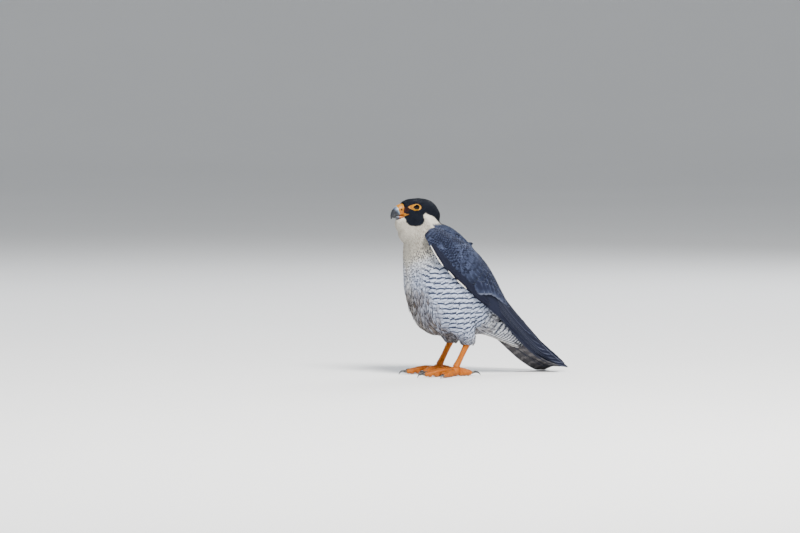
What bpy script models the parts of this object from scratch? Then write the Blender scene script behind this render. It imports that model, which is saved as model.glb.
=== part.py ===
"""A life-size peregrine falcon that stands on its two feet with its tail laid on the floor.

The bird faces -Y with its left side at +X and +Z up. Sizes are in millimetres until
a mesh is made, when MM turns them into metres. The flesh under the coat's outer line
is made whole and then parted by thin cuts into head, neck, trunk and two thighs.
"""

import math
from collections import namedtuple

import bmesh
import bpy
from mathutils import Matrix, Vector

MM = 0.001
CUT = 0.35
SECTION_POINTS = 20
WING_POINTS = 16
TAIL_POINTS = 14
BILL_POINTS = 12

EYE_APART = 23.4
EYE_RADIUS = 7.0
EYE_HEIGHT = 240.0
EYE_BACK = -70.0
HEAD_YAW = math.radians(4)

ANKLE = Vector((27.5, 8.0, 49.0))
PALM = Vector((27.0, -14.0, 8.5))
THIGH_CUT = Vector((0, 2, 54.5))
THIGH_END = 44.0

TAIL_ROLL = math.radians(17)
FAR_WING_LIFT = Vector((0, 5, 4))

Station = namedtuple("Station", "name y z half_width back belly")

# Centre, half width and the two half depths of the coat's outline, from nape to tail coverts.
TRUNK = [
    Station("nape", -55, 225, 23, 22, 22),
    Station("neck", -52, 209, 28, 26, 27),
    Station("shoulders", -43, 190, 42, 42, 38),
    Station("chest", -30, 165, 50, 53, 52),
    Station("breast", -16, 138, 52, 56, 64),
    Station("belly", 3, 112, 50, 48, 70),
    Station("vent", 29, 92, 41, 36, 40),
    Station("rump", 53, 79, 30, 24, 27),
    Station("coverts", 80, 58, 23, 12, 15),
    Station("covert_ends", 104, 39, 15, 4, 7),
]

WingStation = namedtuple("WingStation", "name lower upper bulge thickness")

# The folded left wing: its lower and upper edge, how far it bows out, and how thick it is.
WING = [
    WingStation("wrist_front", (41, -66, 202), (33, -52, 212), 2, 7),
    WingStation("wrist", (51, -60, 184), (25, -36, 213), 9, 11),
    WingStation("forearm", (56, -48, 163), (21, -17, 205), 15, 13),
    WingStation("lesser_coverts", (58, -35, 149), (19, 0, 197), 18, 14),
    WingStation("median_coverts", (58, -23, 138), (18, 15, 186), 19, 14),
    WingStation("greater_coverts", (56, -4, 123), (18, 32, 168), 19, 13),
    WingStation("secondaries", (54, 13, 109), (18, 46, 149), 17, 12),
    WingStation("tertials", (50, 30, 97), (18, 58, 129), 13, 10),
    WingStation("secondary_tips", (44, 48, 84), (17, 71, 109), 9, 8),
    WingStation("primaries", (34, 79, 62), (15, 98, 81), 5, 6),
    WingStation("primary_blades", (22, 118, 34), (12, 132, 46), 3, 5),
    WingStation("longest_primaries", (16, 146, 19), (10, 154, 27), 1.5, 4),
    WingStation("wing_tip", (12, 174, 4.5), (10, 177, 7), 0.5, 2.2),
]

TailStation = namedtuple("TailStation", "name y z half_width thickness")

TAIL = [
    TailStation("root", 50, 70, 15, 7),
    TailStation("base", 78, 50, 19, 6),
    TailStation("middle", 108, 28.5, 22.5, 4.6),
    TailStation("band", 136, 12.5, 25.5, 3.4),
    TailStation("tip", 152, 7.6, 25.5, 2.4),
    TailStation("tip_edge", 157, 6.6, 22, 1.6),
]

BillStation = namedtuple("BillStation", "name culmen tomium half_width")

# The bill's upper half, from the forehead to the hook, level with the eye's middle.
UPPER_BILL = [
    BillStation("under_feathers", (-12, 5.0), (-11, -11.2), 8.2),
    BillStation("cere_back", (-17, 4.0), (-16, -11.4), 7.4),
    BillStation("cere_front", (-21.5, 2.0), (-20.5, -11.6), 6.5),
    BillStation("horn", (-26.4, -1.2), (-24.5, -12.0), 5.3),
    BillStation("bend", (-30.2, -5.6), (-27.2, -12.8), 4.1),
    BillStation("hook", (-32.0, -10.8), (-29.2, -14.4), 2.7),
    BillStation("point", (-32.0, -14.8), (-30.2, -15.8), 1.2),
    BillStation("point_end", (-31.5, -17.0), (-31.1, -17.0), 0.45),
]

LOWER_BILL = [
    BillStation("jaw", (-10, -11.8), (-10, -17.2), 7.5),
    BillStation("middle", (-17, -12.0), (-17, -17.0), 6.6),
    BillStation("front", (-22.5, -12.4), (-22, -16.6), 5.2),
    BillStation("lip", (-26.6, -13.3), (-26.0, -15.8), 3.2),
    BillStation("lip_end", (-28.2, -14.6), (-28.0, -15.2), 1.2),
]
CERE_EDGE = -21.5

Toe = namedtuple("Toe", "name heading length radius claw rise")

# Heading is measured outwards from straight ahead; the first toe points back.
TOES = [
    Toe("hallux", 172, 20, 4.2, 14, 3.6),
    Toe("inner", -29, 29, 4.1, 13.5, 4.0),
    Toe("middle", 4, 42, 3.9, 12.5, 4.6),
    Toe("outer", 42, 34, 3.6, 11, 3.8),
]
PAD_SWELL = 1.2
CLAW_BASE = 1.9
CLAW_TIP = 0.35

PLUMAGE = (0.16, 0.18, 0.24)
BREAST = (0.72, 0.71, 0.70)
HOOD = (0.03, 0.035, 0.05)
HORN = (0.20, 0.23, 0.28)
YELLOW = (0.90, 0.45, 0.04)
CLAW = (0.02, 0.02, 0.022)
EYE = (0.03, 0.015, 0.01)


def clear_scene():
    for old in list(bpy.data.objects):
        bpy.data.objects.remove(old)


def surface(name, colour, roughness):
    """One plain Principled material for each kind of surface."""
    made = bpy.data.materials.get(name)
    if made is None:
        made = bpy.data.materials.new(name)
        made.use_nodes = True
        shader = made.node_tree.nodes["Principled BSDF"]
        shader.inputs["Base Color"].default_value = (*colour, 1)
        shader.inputs["Roughness"].default_value = roughness
    return made


def collection_named(name, shown=True):
    made = bpy.data.collections.get(name)
    if made is None:
        made = bpy.data.collections.new(name)
        bpy.context.scene.collection.children.link(made)
        made.hide_render = not shown
    return made


def add_part(name, mesh, material):
    """A shown object of the bird with its place in its mesh."""
    mesh.materials.clear()
    mesh.materials.append(material)
    made = bpy.data.objects.new(name, mesh)
    collection_named("falcon").objects.link(made)
    return made


def add_helper(name, mesh):
    """A cutter or a raw shape that isn't part of the bird."""
    made = bpy.data.objects.new(name, mesh)
    collection_named("helpers", shown=False).objects.link(made)
    made.display_type = "WIRE"
    made.hide_render = True
    return made


def smooth_row(rows, t):
    """The values at t along rows of numbers, on a Catmull-Rom curve through them all."""
    last = len(rows) - 1
    at = min(max(t, 0), 1) * last
    i = min(int(at), last - 1)
    f = at - i
    p0, p1, p2, p3 = (rows[min(max(k, 0), last)] for k in (i - 1, i, i + 1, i + 2))
    return [
        0.5 * (2 * b + (c - a) * f + (2 * a - 5 * b + 4 * c - d) * f**2 + (3 * b - a - 3 * c + d) * f**3)
        for a, b, c, d in zip(p0, p1, p2, p3)
    ]


def resampled(rows, count):
    return [smooth_row(rows, k / (count - 1)) for k in range(count)]


def loft(name, rings):
    """A closed mesh through rings of as many points each, capped by a fan at both ends."""
    grid = bmesh.new()
    made = [[grid.verts.new(Vector(p) * MM) for p in ring] for ring in rings]
    count = len(rings[0])
    for near, far in zip(made, made[1:]):
        for k in range(count):
            grid.faces.new((near[k], near[(k + 1) % count], far[(k + 1) % count], far[k]))
    for ring in (made[0], made[-1]):
        centre = grid.verts.new(sum((v.co for v in ring), Vector()) / count)
        for k in range(count):
            grid.faces.new((ring[k], ring[(k + 1) % count], centre))
    bmesh.ops.recalc_face_normals(grid, faces=grid.faces)
    mesh = bpy.data.meshes.new(name)
    grid.to_mesh(mesh)
    grid.free()
    return mesh


def oval(centre, side, up, half_width, half_up, half_down, power=2.0, count=SECTION_POINTS):
    """A ring of points round a centre. A power over 2 makes the oval squarer."""
    ring = []
    for k in range(count):
        angle = 2 * math.pi * k / count
        c, s = math.cos(angle), math.sin(angle)
        width = half_width * math.copysign(abs(c) ** (2 / power), c)
        height = (half_up if s > 0 else half_down) * math.copysign(abs(s) ** (2 / power), s)
        ring.append(centre + side * width + up * height)
    return ring


def ellipsoid(name, centre, radii, turn=None, around=28):
    mesh = bpy.data.meshes.new(name)
    ball = bmesh.new()
    place = Matrix.Translation(Vector(centre) * MM)
    if turn is not None:
        place = place @ turn.to_4x4()
    place = place @ Matrix.Diagonal((*(Vector(radii) * MM), 1))
    bmesh.ops.create_uvsphere(ball, u_segments=around, v_segments=around * 5 // 8, radius=1, matrix=place)
    ball.to_mesh(mesh)
    ball.free()
    return mesh


def evaluated_mesh(holder, name):
    """The holder's mesh with its modifiers applied. The holder is then removed."""
    bpy.context.view_layer.update()
    graph = bpy.context.evaluated_depsgraph_get()
    mesh = bpy.data.meshes.new_from_object(holder.evaluated_get(graph))
    mesh.name = name
    bpy.data.objects.remove(holder)
    return mesh


def working_object(name, mesh):
    """An object that is evaluated only: it stands in the shown collection until it is used."""
    made = bpy.data.objects.new(name, mesh)
    collection_named("falcon").objects.link(made)
    return made


def fused(name, meshes, voxel, triangles, smoothing=6):
    """One closed body from overlapping closed ones, blended like flesh and thinned to a few triangles."""
    whole = bmesh.new()
    for mesh in meshes:
        whole.from_mesh(mesh)
    joined = bpy.data.meshes.new(name)
    whole.to_mesh(joined)
    whole.free()
    holder = working_object(name + "_holder", joined)
    remesh = holder.modifiers.new("blend", "REMESH")
    remesh.mode = "VOXEL"
    remesh.voxel_size = voxel * MM
    smooth = holder.modifiers.new("soften", "SMOOTH")
    smooth.iterations = smoothing
    smooth.factor = 0.5
    dense = evaluated_mesh(holder, name)
    dense.calc_loop_triangles()
    share = min(1, triangles / len(dense.loop_triangles))
    holder = working_object(name + "_thinned", dense)
    thin = holder.modifiers.new("thin", "DECIMATE")
    thin.ratio = share
    thin.use_collapse_triangulate = True
    return evaluated_mesh(holder, name)


def grown(mesh, by):
    """A copy pushed out along its normals, so that what it cuts keeps a gap."""
    holder = working_object("grown", mesh.copy())
    push = holder.modifiers.new("push", "DISPLACE")
    push.mid_level = 0
    push.strength = by * MM
    return evaluated_mesh(holder, "grown")


def cut_by(mesh, cutters):
    """What is left of a mesh when closed cutters are taken from it."""
    holder = working_object("cut", mesh)
    helpers = []
    for k, cutter in enumerate(cutters):
        helper = add_helper(f"cutter_{k}", cutter)
        helpers.append(helper)
        boolean = holder.modifiers.new(f"cut_{k}", "BOOLEAN")
        boolean.operation = "DIFFERENCE"
        boolean.solver = "EXACT"
        boolean.object = helper
    left = evaluated_mesh(holder, mesh.name)
    for helper in helpers:
        bpy.data.objects.remove(helper)
    return left


def slab(centre, normal, size, thickness=CUT):
    """A thin square plate across a body, for one thin cut."""
    turn = Vector(normal).to_track_quat("Z", "Y").to_matrix().to_4x4()
    shape = Matrix.Diagonal((size[0] * MM, size[1] * MM, thickness * MM, 1))
    plate = bmesh.new()
    bmesh.ops.create_cube(plate, size=1, matrix=Matrix.Translation(Vector(centre) * MM) @ turn @ shape)
    mesh = bpy.data.meshes.new("slab")
    plate.to_mesh(mesh)
    plate.free()
    return mesh


def islands(mesh, least_faces=20):
    """Each loose piece of a mesh as a mesh of its own, with crumbs left out."""
    whole = bmesh.new()
    whole.from_mesh(mesh)
    whole.verts.ensure_lookup_table()
    left, found = set(whole.verts), []
    while left:
        piece, edge = set(), [left.pop()]
        while edge:
            at = edge.pop()
            piece.add(at)
            for link in at.link_edges:
                other = link.other_vert(at)
                if other in left:
                    left.discard(other)
                    edge.append(other)
        if sum(len(v.link_faces) for v in piece) >= 3 * least_faces:
            found.append(piece)
    made = []
    for piece in found:
        one, at = bmesh.new(), {}
        for v in sorted(piece, key=lambda vert: vert.index):
            at[v] = one.verts.new(v.co)
        for face in sorted({f for v in piece for f in v.link_faces}, key=lambda f: f.index):
            one.faces.new([at[v] for v in face.verts])
        island = bpy.data.meshes.new("island")
        one.to_mesh(island)
        one.free()
        made.append(island)
    whole.free()
    return made


def middle_of(mesh):
    points = [v.co for v in mesh.vertices]
    return sum(points, Vector()) / len(points) / MM


def nearest_island(pieces, place):
    return min(pieces, key=lambda mesh: (middle_of(mesh) - Vector(place)).length)


def largest_island(pieces):
    return max(pieces, key=lambda mesh: len(mesh.vertices))


def mirrored(mesh, name):
    """The same piece for the other side of the bird."""
    other = mesh.copy()
    other.name = name
    other.transform(Matrix.Diagonal((-1, 1, 1, 1)))
    other.flip_normals()
    return other


def head_place():
    """Head sizes are measured from the point midway between the eyes."""
    return Matrix.Translation((0, EYE_BACK * MM, EYE_HEIGHT * MM)) @ Matrix.Rotation(HEAD_YAW, 4, "Z")


def trunk_mesh():
    """A loft of ovals square to the line from the nape to the tail coverts."""
    rows = resampled([station[1:] for station in TRUNK], 40)
    rings = []
    for k, (y, z, half_width, back, belly) in enumerate(rows):
        before, after = rows[max(k - 1, 0)], rows[min(k + 1, len(rows) - 1)]
        along = Vector((0, after[0] - before[0], after[1] - before[1])).normalized()
        towards_back = Vector((1, 0, 0)).cross(along)
        rings.append(oval(Vector((0, y, z)), Vector((1, 0, 0)), towards_back, half_width, back, belly, 2.05))
    return loft("trunk", rings)


def head_meshes():
    """The rounded forms of a falcon's head: flat crown, brow, full cheeks and throat."""
    forms = [
        ellipsoid("cranium", (0, 12, -5.0), (20.0, 30.5, 17.8)),
        ellipsoid("crown", (0, 6, 1.5), (16.5, 23, 10.8)),
        ellipsoid("face", (0, -8, -5.0), (11.5, 11.5, 10.5)),
        ellipsoid("throat", (0, -9, -24), (13.5, 15.5, 14)),
        ellipsoid("chin", (0, -12, -16.5), (7.8, 11, 6.5)),
        ellipsoid("foreneck", (0, -1, -37), (20, 16.5, 17)),
        ellipsoid("occiput", (0, 26, -13), (18, 21, 17)),
    ]
    for side in (-1, 1):
        lean = Matrix.Rotation(side * math.radians(18), 3, "Z")
        forms.append(ellipsoid("brow", (side * 11.6, 1.5, 6.0), (5.0, 9.0, 4.0), lean))
        forms.append(ellipsoid("cheek", (side * 9.5, 6, -16), (11.0, 16, 13)))
    for form in forms:
        form.transform(head_place())
    return forms


def thigh_mesh(side):
    """The feathered thigh, from inside the flank down to just above the ankle."""
    rows = [
        (side * 27, -14, 100, 24),
        (side * 28, -11, 82, 23),
        (side * 28, -3, 66, 19),
        (side * ANKLE.x, ANKLE.y - 3, 53, 13.5),
        (side * ANKLE.x, ANKLE.y - 0.5, 43, 9),
        (side * ANKLE.x, ANKLE.y, 40, 7.5),
    ]
    rings = [
        oval(Vector((x, y, z)), Vector((1, 0, 0)), Vector((0, 1, 0)), radius * 0.86, radius, radius)
        for x, y, z, radius in resampled(rows, 14)
    ]
    return loft("thigh", rings)


def make_flesh():
    """The whole feathered body with its sockets, then head, neck, trunk and thighs cut from it."""
    pieces = [trunk_mesh(), thigh_mesh(1), thigh_mesh(-1), *head_meshes()]
    whole = fused("flesh", pieces, 2.2, 2300)
    cutters = [
        slab((0, -50, 216), (0, 0.42, -1), (90, 90)),
        slab((0, -44, 197), (0, 0.5, -1), (110, 110)),
        slab(THIGH_CUT, (0, 0.09, 1), (130, 66)),
        slab((0, 0, THIGH_END), (0, 0, 1), (90, 60)),
    ]
    for bill in bill_envelopes():
        cutters.append(bill)
    for side in (-1, 1):
        socket = ellipsoid("socket", (side * EYE_APART / 2, 0, 0), (EYE_RADIUS + CUT,) * 3, around=16)
        socket.transform(head_place())
        cutters.append(socket)
    parts = islands(cut_by(whole.copy(), cutters))
    places = {
        "head": (0, -62, 233),
        "neck": (0, -50, 206),
        "trunk": (0, -5, 130),
        "thigh_left": (27, 5, 51),
        "thigh_right": (-27, 5, 51),
    }
    for name, place in places.items():
        kind = surface("breast_feathers", BREAST, 0.8)
        if name == "head":
            kind = surface("hood_feathers", HOOD, 0.7)
        add_part(name, nearest_island(parts, place), kind)
    return whole


def bill_rings(stations, count, closed_edge):
    """Rings across the bill: flat at the edge that meets the other half, round on the far side."""
    rows = resampled([(*s.culmen, *s.tomium, s.half_width) for s in stations], count)
    rings = []
    for top_y, top_z, low_y, low_z, half_width in rows:
        top, low = Vector((0, top_y, top_z)), Vector((0, low_y, low_z))
        middle, up = (top + low) / 2, (top - low) / 2
        ring = []
        for k in range(BILL_POINTS):
            angle = 2 * math.pi * (k + 0.5) / BILL_POINTS
            c, s = math.cos(angle), math.sin(angle)
            power = 5.0 if s * closed_edge > 0 else 2.1
            x = math.copysign(abs(c) ** (2 / power), c)
            z = math.copysign(abs(s) ** (2 / power), s)
            narrowing = 1 - 0.2 * (1 - z * closed_edge) / 2
            ring.append(middle + up * z + Vector((x * half_width * narrowing, 0, 0)))
        rings.append(ring)
    return rings


def bill_envelopes():
    """What the bill takes from the face, a little larger than the bill itself."""
    found = []
    for stations, closed_edge in ((UPPER_BILL, -1), (LOWER_BILL, 1)):
        mesh = loft("bill_cutter", bill_rings(stations, 8, closed_edge))
        mesh.transform(head_place())
        found.append(grown(mesh, CUT))
    return found


def make_bill():
    """The upper half is parted into the fleshy cere and the horn by one slanting cut."""
    upper = loft("upper", bill_rings(UPPER_BILL, 13, -1))
    part_line = slab((0, CERE_EDGE, -4), (0, -1, -0.25), (40, 40))
    halves = islands(cut_by(upper, [part_line]))
    cere = nearest_island(halves, (0, -14, -3))
    horn = nearest_island(halves, (0, -28, -8))
    lower = loft("lower", bill_rings(LOWER_BILL, 7, 1))
    for name, mesh, kind in (
        ("cere", cere, surface("yellow_skin", YELLOW, 0.45)),
        ("beak_upper", horn, surface("bill_horn", HORN, 0.3)),
        ("beak_lower", lower, surface("bill_horn", HORN, 0.3)),
    ):
        mesh.transform(head_place())
        add_part(name, mesh, kind)


def make_eyes():
    for side, name in ((1, "eye_left"), (-1, "eye_right")):
        mesh = ellipsoid(name, (side * EYE_APART / 2, 0, 0), (EYE_RADIUS,) * 3, around=16)
        mesh.transform(head_place())
        add_part(name, mesh, surface("eye", EYE, 0.05))


def wing_ring(lower, upper, bulge, thickness):
    """A bowed strip from the lower to the upper edge, thick in the middle and thin at both edges."""
    low, top = Vector(lower), Vector(upper)
    across = top - low
    out = Vector((1, 0, 0))
    out -= across * out.dot(across) / across.length_squared
    out.normalize()
    steps = WING_POINTS // 2
    outer, inner = [], []
    for k in range(steps):
        v = k / (steps - 1)
        bow = 4 * v * (1 - v)
        at = low + across * v + out * bulge * bow
        edge = 0.28 + 0.72 * bow**0.6
        outer.append(at)
        inner.append(at - out * thickness * edge)
    return outer + inner[::-1]


def wing_mesh():
    rows = resampled([(*s.lower, *s.upper, s.bulge, s.thickness) for s in WING], 22)
    rings = [wing_ring(row[0:3], row[3:6], row[6], row[7]) for row in rows]
    return loft("wing", rings)


def tail_mesh():
    """A closed fan, arched a little across, that sinks to the floor and rolls towards its left."""
    rows = resampled([station[1:] for station in TAIL], 12)
    rings = []
    for k, (y, z, half_width, thickness) in enumerate(rows):
        before, after = rows[max(k - 1, 0)], rows[min(k + 1, len(rows) - 1)]
        along = Vector((0, after[0] - before[0], after[1] - before[1])).normalized()
        share = min(1, k / 5) * (1 if k < 7 else 1 - 0.1 * (k - 6))
        turn = Matrix.Rotation(-TAIL_ROLL * share, 3, along)
        side = turn @ Vector((1, 0, 0))
        up = turn @ Vector((1, 0, 0)).cross(along)
        ring = oval(Vector((0, y, z)), side, up, half_width, thickness / 2, thickness / 2, 2.6, TAIL_POINTS)
        middle = Vector((0, y, z))
        arch = 2.0
        rings.append([p - up * arch * ((p - middle).dot(side) / half_width) ** 2 for p in ring])
    return loft("tail", rings)


def above_floor(mesh, name):
    """The mesh with what lies below the floor cut off, which leaves small flats to stand on."""
    solid = bmesh.new()
    solid.from_mesh(mesh)
    cut = bmesh.ops.bisect_plane(
        solid,
        geom=solid.verts[:] + solid.edges[:] + solid.faces[:],
        plane_co=(0, 0, 0),
        plane_no=(0, 0, -1),
        clear_outer=True,
    )
    edges = [e for e in cut["geom_cut"] if isinstance(e, bmesh.types.BMEdge)]
    bmesh.ops.holes_fill(solid, edges=edges)
    bmesh.ops.triangulate(solid, faces=solid.faces)
    bmesh.ops.recalc_face_normals(solid, faces=solid.faces)
    flat = bpy.data.meshes.new(name)
    solid.to_mesh(flat)
    solid.free()
    return flat


def make_wings_and_tail(flesh):
    """The wings lie on the flanks and over the tail; the flesh is taken from all three."""
    body = grown(flesh, CUT)
    tail = cut_by(tail_mesh(), [body])
    tail = above_floor(largest_island(islands(tail)), "tail")
    add_part("tail", tail, surface("tail_feathers", PLUMAGE, 0.6))
    wing = wing_mesh()
    for name, whole, lift in (
        ("wing_left", wing, Vector()),
        ("wing_right", mirrored(wing, "wing_right"), FAR_WING_LIFT),
    ):
        whole = whole.copy()
        whole.transform(Matrix.Translation(lift * MM))
        cut = cut_by(whole, [body, grown(tail, CUT)])
        add_part(name, largest_island(islands(cut)), surface("wing_feathers", PLUMAGE, 0.6))


def tube(name, points, radii):
    """A round tube through points, with its own radius at each, as a closed mesh."""
    line = bpy.data.curves.new(name, "CURVE")
    line.dimensions = "3D"
    line.bevel_depth = MM
    line.bevel_resolution = 2 if len(points) > 7 or radii[0] > 3 else 1
    line.use_fill_caps = True
    spline = line.splines.new("POLY")
    spline.points.add(len(points) - 1)
    for slot, point, radius in zip(spline.points, points, radii):
        slot.co = (*(Vector(point) * MM), 1)
        slot.radius = radius
    holder = working_object(name, line)
    mesh = evaluated_mesh(holder, name)
    welded = bmesh.new()
    welded.from_mesh(mesh)
    bmesh.ops.remove_doubles(welded, verts=welded.verts, dist=0.00001)
    bmesh.ops.recalc_face_normals(welded, faces=welded.faces)
    welded.to_mesh(mesh)
    welded.free()
    return mesh


def toe_line(toe):
    """Points along a toe, from the palm over its knuckle to the claw, and the way it heads."""
    heading = math.radians(toe.heading)
    way = Vector((math.sin(heading), -math.cos(heading), 0))
    points = []
    for k in range(9):
        s = k / 8
        height = toe.radius * 1.08 + toe.rise * math.sin(math.pi * s ** 0.7) * (1 - 0.3 * s)
        sway = Vector((-way.y, way.x, 0)) * 1.2 * math.sin(math.pi * s)
        points.append(Vector((PALM.x, PALM.y, 0)) + way * (3 + toe.length * s) + sway + Vector((0, 0, height)))
    return points, way


def toe_meshes(toe):
    """The toe's tube with a round pad under each joint."""
    points, way = toe_line(toe)
    radii = [toe.radius * (1.08 - 0.22 * k / 8) for k in range(9)]
    meshes = [tube(toe.name, points, radii)]
    for k in (3, 5, 7):
        place = points[k] - Vector((0, 0, points[k].z - toe.radius * 1.12))
        radius = radii[k] * PAD_SWELL
        meshes.append(ellipsoid("pad", place, (radius, radius, radius * 0.95)))
    tip = points[-1]
    meshes.append(ellipsoid("toe_end", tip, (radii[-1] * 1.02,) * 3))
    return meshes


def claw_mesh(toe):
    """A curved claw that leaves the toe's end a little upwards and comes down to the floor."""
    points, way = toe_line(toe)
    start = points[-1] + way * (toe.radius * 0.86 + 0.5)
    drop = start.z - CLAW_TIP - 0.15
    line, radii = [], []
    for k in range(7):
        s = k / 6
        rise = 2.4 * math.sin(math.pi * min(1, s * 1.1)) * (1 - s)
        ahead = toe.claw * 0.86 * math.sin(s * math.pi / 2)
        line.append(start + way * ahead + Vector((0, 0, rise - drop * s**1.7)))
        radii.append(CLAW_BASE + (CLAW_TIP - CLAW_BASE) * s**0.9)
    return tube("claw", line, radii)


def make_legs():
    """Bare shanks and feet. The feet stand on small flats under their pads."""
    skin = surface("yellow_skin", YELLOW, 0.45)
    claw_skin = surface("claw_horn", CLAW, 0.25)
    shank_low = PALM + Vector((0.2, 2.5, 4))
    shank = [ANKLE + (shank_low - ANKLE) * k / 6 for k in range(7)]
    widths = [5.0, 4.5, 4.0, 3.8, 3.8, 4.2, 5.0]
    shank_tube = tube("shank", shank, widths)
    spur = ellipsoid("ankle", ANKLE, (4.2, 4.9, 4.9))
    palm = ellipsoid("palm", PALM - Vector((0, 0, 1.6)), (8.0, 8.6, 6.6))
    foot_pieces = [shank_tube, spur, palm]
    for toe in TOES:
        foot_pieces += toe_meshes(toe)
    foot = above_floor(fused("foot", foot_pieces, 0.8, 640, smoothing=7), "foot")
    ankle_cut = slab((ANKLE.x, ANKLE.y, THIGH_END), (0, 0, 1), (60, 60))
    foot_cut = slab((PALM.x, PALM.y + 6, 16.5), (0, -0.35, 1), (60, 60))
    parts = islands(cut_by(foot, [ankle_cut, foot_cut]), least_faces=6)
    shank_part = nearest_island(parts, (ANKLE.x - 1, 0, 28))
    foot_part = largest_island(parts)
    pieces = [("shank", shank_part, skin), ("foot", foot_part, skin)]
    pieces += [(f"claw_{toe.name}", claw_mesh(toe), claw_skin) for toe in TOES]
    for name, mesh, kind in pieces:
        add_part(f"{name}_left", mesh, kind)
        add_part(f"{name}_right", mirrored(mesh, f"{name}_right"), kind)


def centre_on_floor():
    """Moves every part so that the bird's box is centred over the origin."""
    parts = list(collection_named("falcon").objects)
    points = [v.co for part in parts for v in part.data.vertices]
    low = Vector([min(p[k] for p in points) for k in range(3)])
    high = Vector([max(p[k] for p in points) for k in range(3)])
    shift = Matrix.Translation((-(low.x + high.x) / 2, -(low.y + high.y) / 2, 0))
    for part in parts:
        part.data.transform(shift)
        part.data.update()


def main():
    clear_scene()
    flesh = make_flesh()
    make_bill()
    make_eyes()
    make_wings_and_tail(flesh)
    make_legs()
    centre_on_floor()
    for part in collection_named("falcon").objects:
        part.data.shade_smooth()


main()
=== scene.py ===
# %% [markdown]
# A life-size falcon, feather by feather. The solid model comes first: it fixes
# every size and place, and nothing below moves it. What follows dresses it, from
# the skin out to the last claw, and each cell prints what it made.
# %% Load the solid model
import math

import bmesh
import bpy
import numpy as np
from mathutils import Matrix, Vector
from mathutils.bvhtree import BVHTree
from mathutils.kdtree import KDTree
from numpy.random import default_rng

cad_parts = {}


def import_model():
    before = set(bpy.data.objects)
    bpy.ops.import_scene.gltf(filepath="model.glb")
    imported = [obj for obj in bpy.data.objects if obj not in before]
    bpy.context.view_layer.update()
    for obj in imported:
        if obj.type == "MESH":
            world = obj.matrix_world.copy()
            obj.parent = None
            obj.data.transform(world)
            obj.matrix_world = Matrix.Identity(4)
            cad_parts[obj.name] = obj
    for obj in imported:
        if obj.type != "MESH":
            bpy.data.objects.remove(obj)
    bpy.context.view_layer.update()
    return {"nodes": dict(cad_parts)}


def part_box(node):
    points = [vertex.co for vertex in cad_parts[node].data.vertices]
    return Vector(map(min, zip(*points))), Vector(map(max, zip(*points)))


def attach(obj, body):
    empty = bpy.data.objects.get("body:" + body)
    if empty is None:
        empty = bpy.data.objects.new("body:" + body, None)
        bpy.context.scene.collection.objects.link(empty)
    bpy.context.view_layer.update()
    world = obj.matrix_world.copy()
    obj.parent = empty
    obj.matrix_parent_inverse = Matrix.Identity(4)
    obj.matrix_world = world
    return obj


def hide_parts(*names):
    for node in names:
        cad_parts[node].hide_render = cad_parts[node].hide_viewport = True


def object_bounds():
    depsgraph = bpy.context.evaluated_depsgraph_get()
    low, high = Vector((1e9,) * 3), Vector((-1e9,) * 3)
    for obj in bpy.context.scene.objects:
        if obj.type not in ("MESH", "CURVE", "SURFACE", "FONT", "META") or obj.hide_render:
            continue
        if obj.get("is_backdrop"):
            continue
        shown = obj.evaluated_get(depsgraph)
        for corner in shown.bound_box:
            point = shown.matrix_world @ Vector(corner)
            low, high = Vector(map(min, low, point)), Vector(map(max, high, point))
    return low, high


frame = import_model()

print("solid nodes:", len(frame["nodes"]))

# %% [markdown]
# Sizes are easiest to think about in millimetres. The solids were drawn with the
# point between the eyes at a known place, so the eyes in the frame tell how far
# the drawing has moved, and the line between them tells how the head is turned.
# %% Places on the bird
MM = 0.001
TURN = 2 * math.pi
DRAWN_EYES = Vector((0, -70, 240))
eye_left, eye_right = (sum(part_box(name), Vector()) / 2 for name in ("eye_left", "eye_right"))
between_eyes = (eye_left + eye_right) / 2
eye_line = eye_left - eye_right
HEAD_YAW = math.atan2(eye_line.y, eye_line.x)
EYE_RADIUS = (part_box("eye_left")[1].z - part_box("eye_left")[0].z) / 2 / MM
EYE_APART = eye_line.length / MM
SHIFT = between_eyes / MM - DRAWN_EYES


def to_world(points):
    """Drawing millimetres to metres in the frame."""
    return (np.asarray(points, float) + np.array(SHIFT)) * MM


def to_drawing(points):
    return np.asarray(points, float) / MM - np.array(SHIFT)


def turned_flat(points, angle):
    """Points turned by an angle about the upright axis."""
    c, s = math.cos(angle), math.sin(angle)
    x, y, z = np.moveaxis(np.asarray(points, float), -1, 0)
    return np.stack([x * c - y * s, x * s + y * c, z], -1)


def to_head(points):
    """Drawing millimetres to the head's own: from between the eyes, with the bill along -Y."""
    return turned_flat(np.asarray(points, float) - np.array(DRAWN_EYES), -HEAD_YAW)


def from_head(points):
    return turned_flat(points, HEAD_YAW) + np.array(DRAWN_EYES)


print("head turned by", round(math.degrees(HEAD_YAW), 1), "degrees, eyes", round(EYE_APART, 1), "mm apart")

# %% [markdown]
# The picture is taken from far away with a long lens, a little in front of the
# bird's left side and almost level. A long lens keeps the bird's proportions.
# Large soft lamps give the light of a bright day: the strongest stands high over the
# wing, a cooler one fills the shaded breast and face, and two light the far side.
# %% Camera and light
CAMERA_TURN = math.radians(65)
CAMERA_RISE = math.radians(3)
CAMERA_DISTANCE = 6.0
CAMERA_LENS = 190
AIM = Vector(to_world((-33, -70.8, 154)))
LAMPS_AIM = Vector((0, 0, 0.12))
ROOM_LIGHT = 0.50


def placed(name, data):
    """A new object in the scene that holds a mesh, a lamp or a camera."""
    made = bpy.data.objects.new(name, data)
    bpy.context.scene.collection.objects.link(made)
    return made


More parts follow.
